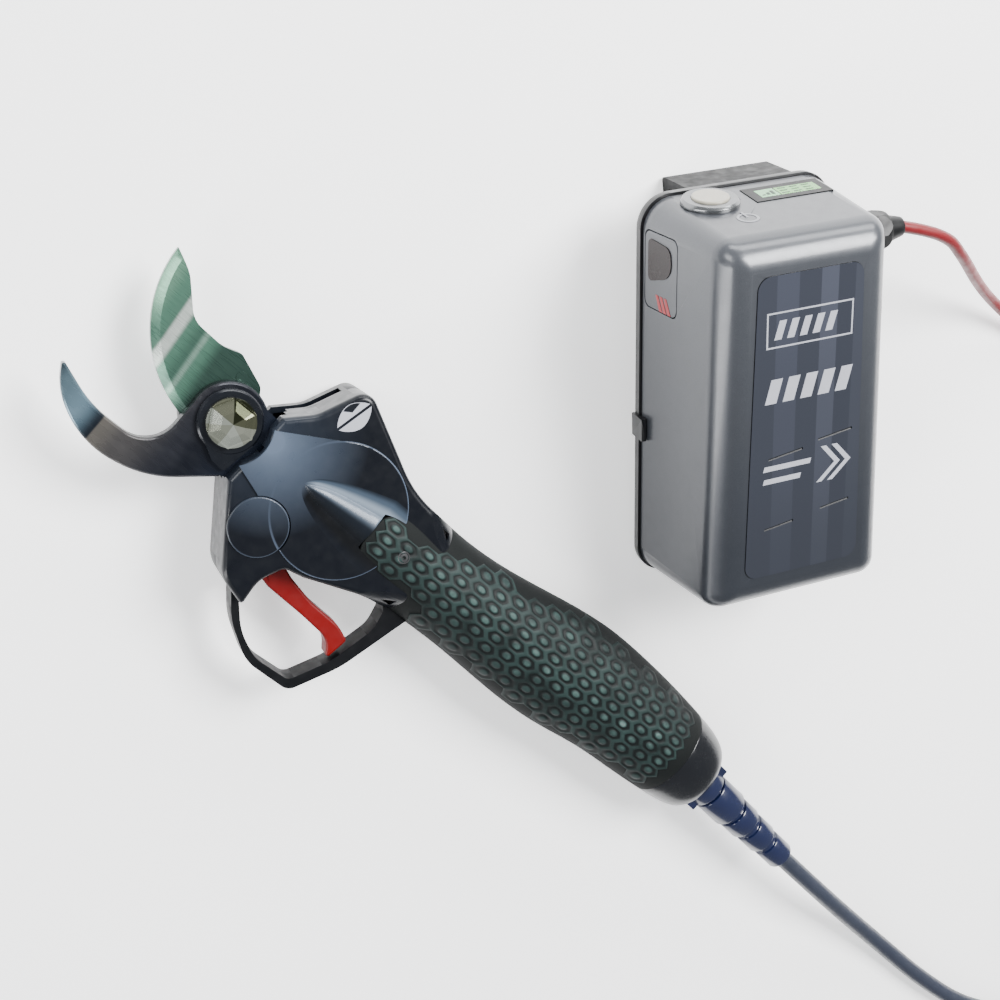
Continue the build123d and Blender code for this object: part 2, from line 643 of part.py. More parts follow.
# =====================================================================  battery pack
def pack_face(grow=0.0):
    """Back view of the pack, a little wider at the foot."""
    foot, top, corner = PACK_FOOT_W / 2 + grow, PACK_TOP_W / 2 + grow, PACK_CORNER + grow
    return rounded_face((-foot, -grow, corner), (foot, -grow, corner), (top, PACK_H + grow, corner),
                        (-top, PACK_H + grow, corner))


def pack_form(wall=0.0):
    """Drafted solid of the front shell; wall shrinks it for the inside."""
    depth = PACK_D - PLATE_T - wall
    body = Pos(0, 0, PLATE_T) * extrude(pack_face(-wall), amount=depth, taper=PACK_DRAFT)
    return fillet(rim(body, PLATE_T + depth), PACK_ROUND - wall)


def on_top(x, z, shape):
    """Place a shape drawn upright on the drafted top face."""
    return Pos(x, PACK_H, PLATE_T) * Rot(PACK_DRAFT, 0, 0) * Pos(0, 0, z - PLATE_T) * Rot(-90, 0, 0) * shape


def door_prism(gap):
    y0, y1, z0, z1 = DOOR
    outline = RectangleRounded(y1 - y0 + 2 * gap, z1 - z0 + 2 * gap, 3)
    face = Plane.YZ * Pos((y0 + y1) / 2, (z0 + z1) / 2) * outline
    return Pos(-60, 0, 0) * extrude(face, amount=60)


def front_shell():
    body = pack_form() - pack_form(PACK_WALL)
    for x, y in PACK_SCREWS:
        body += rod(x, y, 3.4, PLATE_T, 20) & pack_form()
        body -= rod(x, y, 1.3, 0, 18)
    body -= on_top(*BUTTON, rod(0, 0, 9.6, -8, 5))
    x, z, width, depth = DISPLAY
    body -= on_top(x, z, Box(width + 0.2, depth + 0.2, 20))
    body -= on_top(*POWER_RING, tube(0, 0, 4.1, 2.9, -1.3, 5))
    body -= door_prism(0.45) & (pack_form() - pack_form(1.7))
    y0, y1, z0, z1 = DOOR
    body -= Pos(-38, (y0 + y1) / 2 - 1, (z0 + z1) / 2) * Rot(0, 90, 0) * Cylinder(6.1, 12)
    y, z = GLAND
    body -= Pos(34, y, z) * Rot(0, 90, 0) * Cylinder(5.05, 20)
    body -= slab(label_face(0.1), PACK_D - 0.8, PACK_D + 2)
    return body


def label_face(grow=0.0):
    return rounded_face((-23.5 - grow, 18 - grow, 5), (23.5 + grow, 18 - grow, 5), (20.5 + grow, 133 + grow, 5),
                        (-20.5 - grow, 133 + grow, 5))


def label_panel():
    """Inlay on the front face, with shallow cross grooves."""
    body = slab(label_face(), PACK_D - 0.75, PACK_D + 0.35)
    for y, x, length in ((66, -8, 14), (70, 12, 14), (38, -10, 12), (42, 13, 12)):
        body -= Pos(x, y, PACK_D + 0.35) * Rot(0, 0, 8) * Box(length, 0.9, 0.8)
    return body


def back_plate():
    """Black back plate with a proud rim, a knuckle half way up and a shallow tray."""
    body = slab(pack_face(1.0), 0, PLATE_T - 0.6)
    body = fillet(rim(body, 0), 1.6) + slab(pack_face(-0.2), 0.5, PLATE_T - 0.1)
    body += slab(Pos(0, 63) * Rectangle(83.0, 9), 0.5, 9.0) - pack_form(-0.02) - slab(pack_face(), 1, 20)
    body -= slab(pack_face(-PACK_WALL - 8), 2.2, 20)
    for x, y in PACK_SCREWS:
        body += rod(x, y, 4.0, 2, PLATE_T - 0.1)
        body -= rod(x, y, 1.7, -1, 20) + rod(x, y, 3.1, -1, 1.8)
    for x, y in HOOK_BOLTS:
        body += rod(x, y, 4.0, 2, PLATE_T - 0.1)
        body -= rod(x, y, 1.65, -1, 20)
    return body


def pack_gasket():
    ring = pack_face(-0.4) - pack_face(-PACK_WALL + 0.5)
    return slab(ring, PLATE_T - 0.1, PLATE_T)


def belt_hook():
    """Belt hook: plate screwed to the back, bent over at the top into a leg that lies on the floor."""
    lean = tan(radians(PACK_LEAN))
    top, foot = PACK_H - 1.3, 66.0
    side = Polyline((-0.2, 104), (-0.2, top), (-top * lean, top), (-foot * lean, foot), (-foot * lean + 2.6, foot),
                    (-(top - 14) * lean + 2.6, top - 3.5), (-3.2, top - 3.5), (-3.2, 104), close=True)
    face = Plane(origin=(0, 0, 0), x_dir=(0, 0, 1), z_dir=(-1, 0, 0)) * make_face(side)
    body = Pos(HOOK_X, 0, 0) * extrude(face, amount=HOOK_WIDTH / 2, both=True)
    outer_corners = body.edges().filter_by(Axis.X).sort_by(Axis.Y)[-4:]
    body = fillet(outer_corners, 1.4)
    for x, y in HOOK_BOLTS:
        body -= rod(x, y, 1.65, -3.3, 1)
        body -= rod(x, y, 3.2, -60, -2.2)
    return body


def hook_bolts():
    return [rod(x, y, 1.6, -2.2, 4.5) + rod(x, y, 3.0, -3.1, -2.2) for x, y in HOOK_BOLTS]


def pack_screws():
    return [rod(x, y, 1.28, 1.8, 16) + rod(x, y, 2.9, 0.3, 1.8) for x, y in PACK_SCREWS]


def button_bezel():
    """Flange and threaded body of the power button."""
    flange, cap = BUTTON_R
    ring = tube(0, 0, flange, cap + 0.15, 0.05, 2.2)
    ring = chamfer([e for e in rim(ring, 2.2) if e.radius > 9], 0.9)
    barrel_part = tube(0, 0, 9.5, cap + 0.15, -10, 0.05)
    return on_top(*BUTTON, ring + barrel_part + rod(0, 0, 9.5, -11.5, -10))


def button_nut():
    nut = Pos(0, 0, -6.2) * extrude(RegularPolygon(12.2, 6), amount=2.6)
    return on_top(*BUTTON, nut - rod(0, 0, 9.52, -20, 20))


def power_button():
    flange, cap = BUTTON_R
    body = rod(0, 0, cap, -5.5, 3.0)
    body = fillet(rim(body, 3.0), 0.6)
    return on_top(*BUTTON, body)


def button_spring():
    return on_top(*BUTTON, tube(0, 0, 4.2, 3.2, -9.9, -5.6))


def display_window():
    x, z, width, depth = DISPLAY
    return on_top(x, z, Pos(0, 0, -0.3) * Box(width, depth, 1.2))


def display_module():
    x, z, width, depth = DISPLAY
    return on_top(x, z, Pos(0, 0, -3.6) * Box(width - 1, depth - 1, 5.0))


def power_ring():
    return on_top(*POWER_RING, tube(0, 0, 4.0, 3.0, -1.2, 0.15))


def charge_door():
    """Flap over the charging socket, following the side of the shell."""
    body = door_prism(0.0) & (pack_form() - pack_form(1.4))
    return body.solids().sort_by(SortBy.VOLUME)[-1]


def door_window():
    """Dark sail-shaped window set on the flap."""
    face = rounded_face((121.5, 8.8, 2), (137.6, 8.8, 2), (136.5, 23.0, 4), (126.0, 24.5, 7))
    prism = Pos(-60, 0, 0) * extrude(Plane.YZ * face, amount=60)
    body = prism & (pack_form(-0.35) - pack_form(0.0))
    return body.solids().sort_by(SortBy.VOLUME)[-1]


def charge_socket():
    y0, y1, z0, z1 = DOOR
    body = Rot(0, 90, 0) * (tube(0, 0, 6.0, 3.4, 0, 6.0) + rod(0, 0, 6.0, 4.8, 6.0) + rod(0, 0, 1.0, 1.5, 5))
    return Pos(-34.1, (y0 + y1) / 2 - 1, (z0 + z1) / 2) * body


def pouch_cells():
    """Ten flat cells in a stack, on their tray."""
    width, height, thick = CELL_SIZE
    cells = [Pos(0, 10 + height / 2, 10.5 + (thick + 0.2) * k) * Box(width - 0.35 * k, height, thick)
             for k in range(CELL_COUNT)]
    return [cell_tray()] + cells


def cell_tray():
    width, height, _ = CELL_SIZE
    outer = Pos(0, 10 + height / 2, 7.4) * Box(width + 4, height + 3, 1.6)
    shelf = Pos(0, 10 + height + 1.0, 24) * Box(width - 8, 1.6, 32)
    return outer + shelf


def bms_board():
    return Pos(0, 66, 51.0) * Box(42, 96, 1.6)


def lead_gland():
    """Gland body through the right side of the shell."""
    body = Rot(0, 90, 0) * (rod(0, 0, 5.0, -9, 4) + rod(0, 0, 6.6, 1.4, 3.4))
    y, z = GLAND
    return Pos(35.0, y, z) * (body - Rot(0, 90, 0) * rod(0, 0, PACK_LEAD_R + 0.02, -20, 20))


def gland_nut():
    """Domed hex nut of the gland, with a short bend collar."""
    nut = extrude(RegularPolygon(7.6, 6), amount=7.5)
    nut = Pos(0, 0, 3.5) * (nut & Cone(9.2, 6.6, 7.5, align=(Align.CENTER, Align.CENTER, Align.MIN)))
    dome = Pos(0, 0, 11.0) * Cone(5.4, 3.6, 7.0, align=(Align.CENTER, Align.CENTER, Align.MIN))
    y, z = GLAND
    body = nut + dome - rod(0, 0, PACK_LEAD_R + 0.02, 0, 30) - rod(0, 0, 5.05, 0, 4.1)
    return Pos(35.0, y, z) * Rot(0, 90, 0) * body


# =====================================================================  leads
def lead_radii(points):
    """Arc radius at each inner point: as large as its two runs allow."""
    radii = []
    for before, here, after in zip(points, points[1:], points[2:]):
        a, b = Vector(*here) - Vector(*before), Vector(*after) - Vector(*here)
        turn = radians(a.get_angle(b))
        radii.append(0.45 * min(a.length, b.length) / tan(turn / 2))
    return radii


def lead(points, radius):
    """Round lead along straight runs joined by tangent arcs."""
    radii = lead_radii(points)
    print("lead radii:", [round(r) for r in radii])
    path = FilletPolyline(*points, radius=radii)
    start = Plane(origin=path @ 0, z_dir=path % 0)
    return sweep(start * Circle(radius), path=path)


def tool_lead():
    return lead(TOOL_LEAD, TOOL_LEAD_R)


def tool_tail():
    return lead(TOOL_TAIL, TOOL_LEAD_R)


def lead_coil():
    """Outer shape of the two turns that are wound up beside the tool."""
    outer, inner = COIL_R
    return tube(*COIL_CENTRE, outer + TOOL_LEAD_R + 0.2, inner - TOOL_LEAD_R - 0.2, 0.0, 2 * TOOL_LEAD_R + 0.1)


def along_plug(shape):
    return Pos(*PLUG_FROM, PLUG_R) * Rot(0, 0, PLUG_HEADING) * shape


def lead_plug():
    """Plug on the tool's lead, with a coupling ring."""
    body = barrel(0, 12, 5.2) + barrel(10, PLUG_L, 6.4) + barrel(PLUG_L - 15, PLUG_L - 2, PLUG_R)
    return along_plug(body)


def lead_socket():
    """Socket on the pack's lead."""
    body = barrel(PLUG_L + 0.05, PLUG_L + 30, 6.4) + barrel(PLUG_L + 28, PLUG_L + 38, 4.4)
    return along_plug(body)


def pack_point(x, y, z):
    spot = pack(Pos(x, y, z) * Vertex(0, 0, 0)).center()
    return (spot.X, spot.Y, spot.Z)


def plug_point(distance, height):
    heading = radians(PLUG_HEADING)
    return (PLUG_FROM[0] + distance * cos(heading), PLUG_FROM[1] + distance * sin(heading), height)


def pack_lead():
    y, z = GLAND
    points = [pack_point(35 + 18.0, y, z)] + PACK_LEAD_MIDDLE
    points += [plug_point(PLUG_L + 62, 5.5), plug_point(PLUG_L + 38, PLUG_R)]
    return lead(points, PACK_LEAD_R)


# =====================================================================  export
def head_screws():
    return [rod(x, y, 2.9, 0.6 - HEAD_HALF, 2.5 - HEAD_HALF) + rod(x, y, 1.24, 2.4 - HEAD_HALF, 9)
            for x, y in SCREW_POSTS]


def hook_screws():
    return [rod(x, y, 1.95, HOOK_Z[0] + 0.6, 12) + Pos(x, y, HOOK_Z[0] + 1.05) * Cone(3.45, 1.9, 1.8)
            for x, y in HOOK_SCREWS]


PRUNER_NODES = {
    "hook_blade": hook_blade, "cutting_blade": cutting_blade, "drive_sector": drive_sector,
    "sector_rivets": sector_rivets, "blade_fitting": blade_fitting, "pivot_bolt": pivot_bolt,
    "lock_ring": lock_ring, "pivot_nut": pivot_nut, "pivot_bush": pivot_bush, "hook_screws": hook_screws,
    "head_rear": head_rear, "head_front": head_front, "head_screws": head_screws,
    "gear_cover": gear_cover, "small_cover": small_cover, "cross_shaft": cross_shaft,
    "lower_bearing": lambda: ball_bearing(SHAFT_X, 0, 8.0, SHAFT_R + 0.04, -12.0, -8.6),
    "spur_pinion": spur_pinion, "bevel_gear": bevel_gear, "bevel_pinion": bevel_pinion,
    "output_shaft": output_shaft, "gearbox": gearbox, "motor_can": motor_can,
    "motor_rotor": motor_rotor, "control_board": control_board,
    "trigger": trigger, "trigger_pin": trigger_pin,
    "trigger_spring": lever_spring, "trigger_sensor": sensor_board, "trigger_guard": trigger_guard,
    "rubber_grip": rubber_grip, "handle_front": lambda: handle_shell(1), "handle_rear": lambda: handle_shell(-1),
    "end_cap": end_cap, "strain_relief": strain_relief,
}
PACK_NODES = {
    "pack_back_plate": back_plate, "pack_front_shell": front_shell, "pack_gasket": pack_gasket,
    "label_panel": label_panel, "belt_hook": belt_hook,
    "pack_screws": lambda: pack_screws() + hook_bolts(), "button_bezel": button_bezel, "button_nut": button_nut,
    "power_button": power_button, "button_spring": button_spring, "display_window": display_window,
    "display_module": display_module, "power_ring": power_ring, "charge_door": charge_door,
    "door_window": door_window, "charge_socket": charge_socket, "pouch_cells": pouch_cells,
    "bms_board": bms_board, "lead_gland": lead_gland, "gland_nut": gland_nut,
}
LEAD_NODES = {
    "tool_lead": lambda: [tool_lead(), tool_tail()], "lead_coil": lead_coil,
    "lead_plug": lead_plug, "lead_socket": lead_socket, "pack_lead": pack_lead,
}


def write(name, made, place):
    pieces = made if isinstance(made, list) else [made]
    solids = [solid for piece in pieces for solid in place(piece).solids()]
    shape = solids[0] if len(solids) == 1 else Compound(children=solids)
    export_step(shape, f"parts/{name}.step")


def main():
    os.makedirs("parts", exist_ok=True)
    for nodes, place in ((PRUNER_NODES, pruner), (PACK_NODES, pack), (LEAD_NODES, lambda shape: shape)):
        for name, make in nodes.items():
            write(name, make(), place)


if __name__ == "__main__":
    main()
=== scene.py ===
import json
from math import atan2, cos, pi, radians, sin, tau

import bmesh
import bpy
from mathutils import Euler, Matrix, Vector
from mathutils.bvhtree import BVHTree


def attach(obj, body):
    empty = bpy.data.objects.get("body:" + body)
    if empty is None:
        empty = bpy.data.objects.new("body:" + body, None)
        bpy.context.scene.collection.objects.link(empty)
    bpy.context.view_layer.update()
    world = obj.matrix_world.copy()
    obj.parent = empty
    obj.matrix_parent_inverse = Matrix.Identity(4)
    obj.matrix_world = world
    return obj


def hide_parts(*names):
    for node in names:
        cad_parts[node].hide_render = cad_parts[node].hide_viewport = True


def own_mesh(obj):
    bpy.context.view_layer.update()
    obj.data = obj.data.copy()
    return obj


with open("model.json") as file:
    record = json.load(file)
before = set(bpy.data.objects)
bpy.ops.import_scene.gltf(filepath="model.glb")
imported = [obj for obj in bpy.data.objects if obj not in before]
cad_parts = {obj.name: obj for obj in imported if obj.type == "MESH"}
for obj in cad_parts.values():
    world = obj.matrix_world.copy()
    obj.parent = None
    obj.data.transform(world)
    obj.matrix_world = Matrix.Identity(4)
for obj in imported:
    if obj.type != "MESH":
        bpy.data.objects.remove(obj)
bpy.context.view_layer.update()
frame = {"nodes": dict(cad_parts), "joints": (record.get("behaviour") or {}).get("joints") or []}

# Looks of a battery electric pruner, its belt pack and their leads.
# Local frames, in millimetres, are those of the CAD model:
#   pruner: origin on the blade pivot at mid thickness, +X down the handle, +Z out of the visible side
#   pack:   origin at the bottom of the back face, +X right, +Y up the pack, +Z out of its front
MM = 0.001
JOINTS = {joint["name"]: joint for joint in frame["joints"]}
PIVOT = Vector(JOINTS["blade_swing"]["pos_m"])
SHAFT = Vector(JOINTS["cross_shaft_spin"]["pos_m"])     # on the pruner's X axis
PRUNER_TURN = Euler((0, 0, atan2(SHAFT.y - PIVOT.y, SHAFT.x - PIVOT.x)))
HALF_THICK = 17.5               # pruner's mid plane above the floor
PACK_FOOT = Vector((109.0, -7.3, 0.0)) * MM
PACK_TURN = Euler((radians(10), 0, radians(7)))
PACK_H = 150.0
PACK_D = 57.0
PLATE_T = 5.0                   # the pack's back plate
TOP_TILT = radians(6)           # slope of the pack's top

# Places on the pack's top, x and z
BUTTON = (-17.5, 17.0)
DISPLAY = (13.5, 16.5)
RING_MARK = (-12.0, 34.5)

PLACES = {
    "pruner": (PIVOT, PRUNER_TURN),
    "pack": (PACK_FOOT, PACK_TURN),
    "world": (Vector(), Euler()),
}


def matrix_of(place):
    """Local millimetres to the shared frame's metres."""
    spot, turn = PLACES[place]
    return Matrix.Translation(spot) @ turn.to_matrix().to_4x4() @ Matrix.Scale(MM, 4)


PRUNER = matrix_of("pruner")
PACK = matrix_of("pack")


# =====================================================================  camera
LENS = 54.49
SENSOR = 36
CAMERA_TARGET = Vector((4.5, 25.2, 17.5)) * MM
CAMERA_BACK = Vector((-0.33, 0.25, 0.91027))       # from the target to the camera
CAMERA_DISTANCE = 0.560


def make_camera():
    """Camera above the object's upper left, with +Y up in its picture."""
    data = bpy.data.cameras.new("camera")
    data.lens = LENS
    data.sensor_width = SENSOR
    camera = bpy.data.objects.new("camera", data)
    bpy.context.scene.collection.objects.link(camera)
    right = Vector((0, 1, 0)).cross(CAMERA_BACK).normalized()
    up = CAMERA_BACK.cross(right)
    turn = Matrix((right, up, CAMERA_BACK)).transposed().to_4x4()
    camera.matrix_world = Matrix.Translation(CAMERA_TARGET + CAMERA_BACK * CAMERA_DISTANCE) @ turn
    bpy.context.scene.camera = camera


make_camera()


# =====================================================================  leads
TOOL_LEAD_D = 7.5
PACK_LEAD_D = 4.5
FLOOR_GAP = 0.05                # under a lead that lies on the floor

# Routes, as control points in the shared frame, in millimetres
TOOL_LEAD = [(131, -142, 17.5), (148, -159.4, 16.3), (170.5, -181.8, 10), (193.5, -203.8, 4.6),
             (217.5, -226.8, 3.8), (244.5, -247.8, 3.8), (275.5, -258.8, 3.8), (306.5, -253.8, 3.8),
             (334.5, -239.8, 3.8), (351.5, -214.8, 3.8)]
COIL_CENTRE = (311.0, -186.8)
COIL_R = (46.0, 30.0)
COIL_TURNS = 2
COIL_STEPS = 16                 # control points in a turn
COIL_LIFT_STEPS = 5             # the last of them rise towards the tail
COIL_LIFT = 0.9                 # rise at each of these
TOOL_TAIL = [(341, -186.8, 8.2), (341.6, -173.3, 11.2), (341.4, -159.8, 12.4), (340, -146.3, 12.0),
             (337.4, -132.8, 9.0), (334.6, -119.8, 7.2), (331.5, -107.8, 7.2)]
PACK_LEAD_MIDDLE = [(168, 121.2, 50), (184, 110.2, 41), (203, 98.7, 25), (222, 88.7, 11), (245, 74.7, 3.2),
                    (270, 53.7, 2.3), (291, 26.7, 3.0)]
GLAND_MOUTH = (53.0, 133.0, 30.0)      # in the pack's frame
PLUG_FROM = (331.5, -107.8)            # where the tool lead enters the plug
PLUG_HEADING = radians(104.5)
PLUG_AXIS_HEIGHT = 7.2
SOCKET_BACK = 80.0                     # where the pack lead enters the socket, along the plug's axis
SOCKET_APPROACH = 24.0                 # the lead's last straight stretch
APPROACH_HEIGHT = 5.5


def plug_point(distance, height):
    """A point this far along the line through the plug and its socket."""
    return (PLUG_FROM[0] + distance * cos(PLUG_HEADING), PLUG_FROM[1] + distance * sin(PLUG_HEADING), height)


def coil_points():
    """Two turns that wind inwards on the floor, ending under the tail's first point."""
    outer, inner = COIL_R
    steps = COIL_TURNS * COIL_STEPS
    points = []
    for step in range(steps):
        share = step / steps
        angle = tau * step / COIL_STEPS
        radius = outer + (inner - outer) * share
        lift = max(0, step - (steps - COIL_LIFT_STEPS)) * COIL_LIFT
        points.append((COIL_CENTRE[0] + radius * cos(angle), COIL_CENTRE[1] + radius * sin(angle),
                       TOOL_LEAD_D / 2 + FLOOR_GAP + lift))
    return points


def nurbs_lead(name, points, diameter):
    """Round lead on one smooth spline with these control points, in millimetres."""
    data = bpy.data.curves.new(name, "CURVE")
    data.dimensions = "3D"
    data.bevel_depth = 1.0              # times the points' own radius, which the object's bounds count too
    data.bevel_resolution = 6
    data.use_fill_caps = True
    spline = data.splines.new("NURBS")
    spline.points.add(len(points) - 1)
    for point, spot in zip(spline.points, points):
        point.co = (*(Vector(spot) * MM), 1)
        point.radius = diameter / 2 * MM
    spline.order_u = 3
    spline.use_endpoint_u = True
    spline.resolution_u = 10
    lead = bpy.data.objects.new(name, data)
    bpy.context.scene.collection.objects.link(lead)
    return lead


def make_leads():
    """The tool's lead, with its put-away coil, and the pack's lead."""
    tool = nurbs_lead("tool_lead_jacket", TOOL_LEAD + coil_points() + TOOL_TAIL, TOOL_LEAD_D)
    gland_mouth = tuple(PACK @ Vector(GLAND_MOUTH) / MM)
    ends = [plug_point(SOCKET_BACK + SOCKET_APPROACH, APPROACH_HEIGHT),
            plug_point(SOCKET_BACK, PLUG_AXIS_HEIGHT)]
    pack = nurbs_lead("pack_lead_jacket", [gland_mouth] + PACK_LEAD_MIDDLE + ends, PACK_LEAD_D)
    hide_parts("tool_lead", "lead_coil")
    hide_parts("pack_lead")
    for lead in (tool, pack):
        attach(lead, "root")
    return tool, pack


TOOL_JACKET, PACK_JACKET = make_leads()


# =====================================================================  finishes
DIM = 0.55                      # the studio light is strong, so that the floor comes out pale


def tint(red, green, blue):
    """Surface colour that looks like this display colour, from 0 to 255, under the studio light."""
    return tuple(DIM * (((c / 255 + 0.055) / 1.055) ** 2.4 if c > 10 else c / 255 / 12.92)
                 for c in (red, green, blue))


class Finish:
    """A Principled material, with short ways to add nodes. Positions are millimetres in one local frame."""

    def __init__(self, name, place, color, rough, metal=0.0, **sockets):
        self.material = bpy.data.materials.new(name)
        self.material.use_nodes = True
        self.tree = self.material.node_tree
        self.shader = self.tree.nodes["Principled BSDF"]
        self.put("Base Color", (*color, 1))
        self.put("Roughness", rough)
        self.put("Metallic", metal)
        for socket, value in sockets.items():
            self.put(socket.replace("_", " "), value)
        spot, turn = PLACES[place]
        mapping = self.add("ShaderNodeMapping", vector_type="TEXTURE")
        mapping.inputs["Location"].default_value = spot
        mapping.inputs["Rotation"].default_value = turn
        mapping.inputs["Scale"].default_value = (MM, MM, MM)
        self.link(self.add("ShaderNodeTexCoord").outputs["Object"], mapping.inputs["Vector"])
        self.where = mapping.outputs["Vector"]

    def add(self, kind, **settings):
        node = self.tree.nodes.new(kind)
        for name, value in settings.items():
            setattr(node, name, value)
        return node

    def link(self, source, target):
        self.tree.links.new(source, target)

    def give(self, target, value):
        """A number, colour or node output to any input."""
        if isinstance(value, bpy.types.NodeSocket):
            self.link(value, target)
        else:
            target.default_value = value

    def put(self, socket, value):
        self.give(self.shader.inputs[socket], value)

    def axis(self, letter):
        node = self.add("ShaderNodeSeparateXYZ")
        self.link(self.where, node.inputs[0])
        return node.outputs[letter]

    def math(self, operation, *values, clamp=False):
        node = self.add("ShaderNodeMath", operation=operation, use_clamp=clamp)
        for target, value in zip(node.inputs, values):
            self.give(target, value)
        return node.outputs[0]

    def spread(self, value, low, high, at_low=0.0, at_high=1.0):
        """From at_low where the value is low to at_high where it is high."""
        node = self.add("ShaderNodeMapRange")
        for target, given in zip(node.inputs, (value, low, high, at_low, at_high)):
            self.give(target, given)
        return node.outputs[0]

    def noise(self, scale, detail=3.0, stretch=(1, 1, 1)):
        """Noise with about this many features to the millimetre."""
        squeeze = self.add("ShaderNodeVectorMath", operation="MULTIPLY")
        self.link(self.where, squeeze.inputs[0])
        squeeze.inputs[1].default_value = stretch
        node = self.add("ShaderNodeTexNoise")
        node.inputs["Scale"].default_value = scale
        node.inputs["Detail"].default_value = detail
        self.link(squeeze.outputs[0], node.inputs["Vector"])
        return node.outputs["Fac"]

    def distance(self, spot):
        """Millimetres from this point."""
        node = self.add("ShaderNodeVectorMath", operation="DISTANCE")
        self.link(self.where, node.inputs[0])
        node.inputs[1].default_value = spot
        return node.outputs["Value"]

    def ramp(self, value, *stops, step=False):
        """Colours by value; stops are (value from 0 to 1, colour or grey), blended or in steps."""
        node = self.add("ShaderNodeValToRGB")
        band = node.color_ramp
        band.interpolation = "CONSTANT" if step else "EASE"
        while len(band.elements) < len(stops):
            band.elements.new(0.5)
        for element, (position, color) in zip(band.elements, stops):
            element.position = position
            element.color = (*color, 1) if isinstance(color, tuple) else (color, color, color, 1)
        self.link(value, node.inputs[0])
        return node.outputs[0]

    def mix(self, share, low, high):
        """The low colour where share is 0 and the high one where it is 1."""
        node = self.add("ShaderNodeMix", data_type="RGBA")
        self.give(node.inputs[0], share)
        for target, color in ((node.inputs[6], low), (node.inputs[7], high)):
            self.give(target, (*color, 1) if isinstance(color, tuple) else color)
        return node.outputs[2]

    def vary(self, color, share=0.12, scale=0.08):
        """The colour, a little lighter and darker in soft patches."""
        dark = tuple(c * (1 - share) for c in color)
        light = tuple(c * (1 + share) for c in color)
        self.put("Base Color", self.mix(self.noise(scale), dark, light))
        return self

    def scuff(self, low, high, scale=0.25, stretch=(1, 1, 1)):
        """Roughness that wanders between two values."""
        self.put("Roughness", self.spread(self.noise(scale, 5.0, stretch), 0.3, 0.7, low, high))
        return self

    def bump(self, height, depth, strength=1.0):
        """Relief of this depth in millimetres where height goes from 0 to 1."""
        node = self.add("ShaderNodeBump")
        node.inputs["Strength"].default_value = strength
        node.inputs["Distance"].default_value = depth * MM
        self.link(height, node.inputs["Height"])
        earlier = self.shader.inputs["Normal"]
        if earlier.links:
            self.link(earlier.links[0].from_socket, node.inputs["Normal"])
        self.put("Normal", node.outputs[0])
        return self

    def grain(self, scale, depth, strength=0.5, stretch=(1, 1, 1)):
        """Fine relief all over."""
        return self.bump(self.noise(scale, 4.0, stretch), depth, strength)


def coated_blade():
    """Green coated steel with painted light in bands across the blade: a white painted highlight streak
    between lighter and darker painted bands.
    """
    finish = Finish("coated_blade", "pruner", tint(110, 156, 136), 0.3, 0.6)
    tilted = finish.math("ADD", finish.axis("X"), finish.math("MULTIPLY", finish.axis("Y"), 0.10))
    along = finish.spread(tilted, -50, 10)
    mid, dark = tint(98, 146, 124), tint(56, 84, 74)
    # Painted light and shade in bands across the blade, with a white painted highlight streak
    bands = finish.ramp(along, (0.0, tint(70, 110, 92)), (0.12, tint(128, 178, 150)), (0.22, mid),
                        (0.265, tint(96, 140, 120)), (0.29, tint(236, 246, 238)),
                        (0.325, tint(240, 250, 242)), (0.36, mid), (0.44, tint(78, 116, 100)),
                        (0.475, tint(150, 186, 168)), (0.50, mid), (0.60, dark), (1.0, tint(48, 74, 66)))
    marks = finish.noise(0.9, 5.0, (0.18, 2.2, 1))
    finish.put("Base Color", finish.mix(finish.spread(marks, 0.3, 1.8), bands, dark))
    finish.scuff(0.24, 0.34, 0.8, (0.15, 2.0, 1))
    return finish.bump(marks, 0.004, 0.25).material


def hook_steel():
    """Dark coated steel with a ground facet towards the tip, with painted light: a painted light-blue
    reflection on the facet and painted shade deepening towards the boss.
    """
    finish = Finish("hook_steel", "pruner", tint(44, 50, 58), 0.28, 0.55)
    along = finish.spread(finish.axis("X"), -56, 16)
    # Painted light along the hook: the facet painted as a light-blue reflection, the rest painted grey fading
    # to dark shade towards the boss
    shade = finish.ramp(along, (0.0, tint(40, 52, 60)), (0.10, tint(104, 128, 140)),
                        (0.2, tint(120, 148, 164)), (0.315, tint(30, 38, 48)), (0.325, tint(112, 108, 102)),
                        (0.45, tint(84, 82, 82)), (0.66, tint(44, 46, 54)), (0.74, tint(24, 28, 38)),
                        (1.0, tint(34, 42, 58)))
    finish.put("Base Color", shade)
    finish.scuff(0.2, 0.36, 0.5, (0.3, 1, 1))
    return finish.grain(1.2, 0.006, 0.3, (0.2, 1.6, 1)).material


def faceted_bolt():
    """Polished bolt head with painted light: each facet painted lighter or darker."""
    finish = Finish("faceted_bolt", "pruner", tint(206, 212, 198), 0.2, 0.85)
    angle = finish.math("ARCTAN2", finish.axis("Y"), finish.axis("X"))
    sector = finish.spread(finish.math("ADD", angle, radians(12)), -pi, pi)
    # Painted light and shade, facet by facet round the bolt's axis
    painted_facet_light = finish.ramp(sector, (0.0, tint(214, 220, 206)), (0.14, tint(190, 194, 176)),
                         (0.3, tint(228, 234, 220)), (0.47, tint(205, 208, 190)), (0.6, tint(120, 122, 98)),
                         (0.72, tint(58, 62, 42)), (0.88, tint(150, 152, 130)), step=True)
    finish.put("Base Color", painted_facet_light)
    return finish.grain(1.5, 0.01, 0.3).material


def bare_steel(name, grey, rough):
    """Uncoated steel with fine marks, a little blue."""
    color = (grey, grey, grey * 1.03)
    finish = Finish(name, "pruner", color, rough, 0.9).vary(color, 0.15, 0.4)
    return finish.grain(2.0, 0.02, 0.4, (0.3, 1, 1)).material


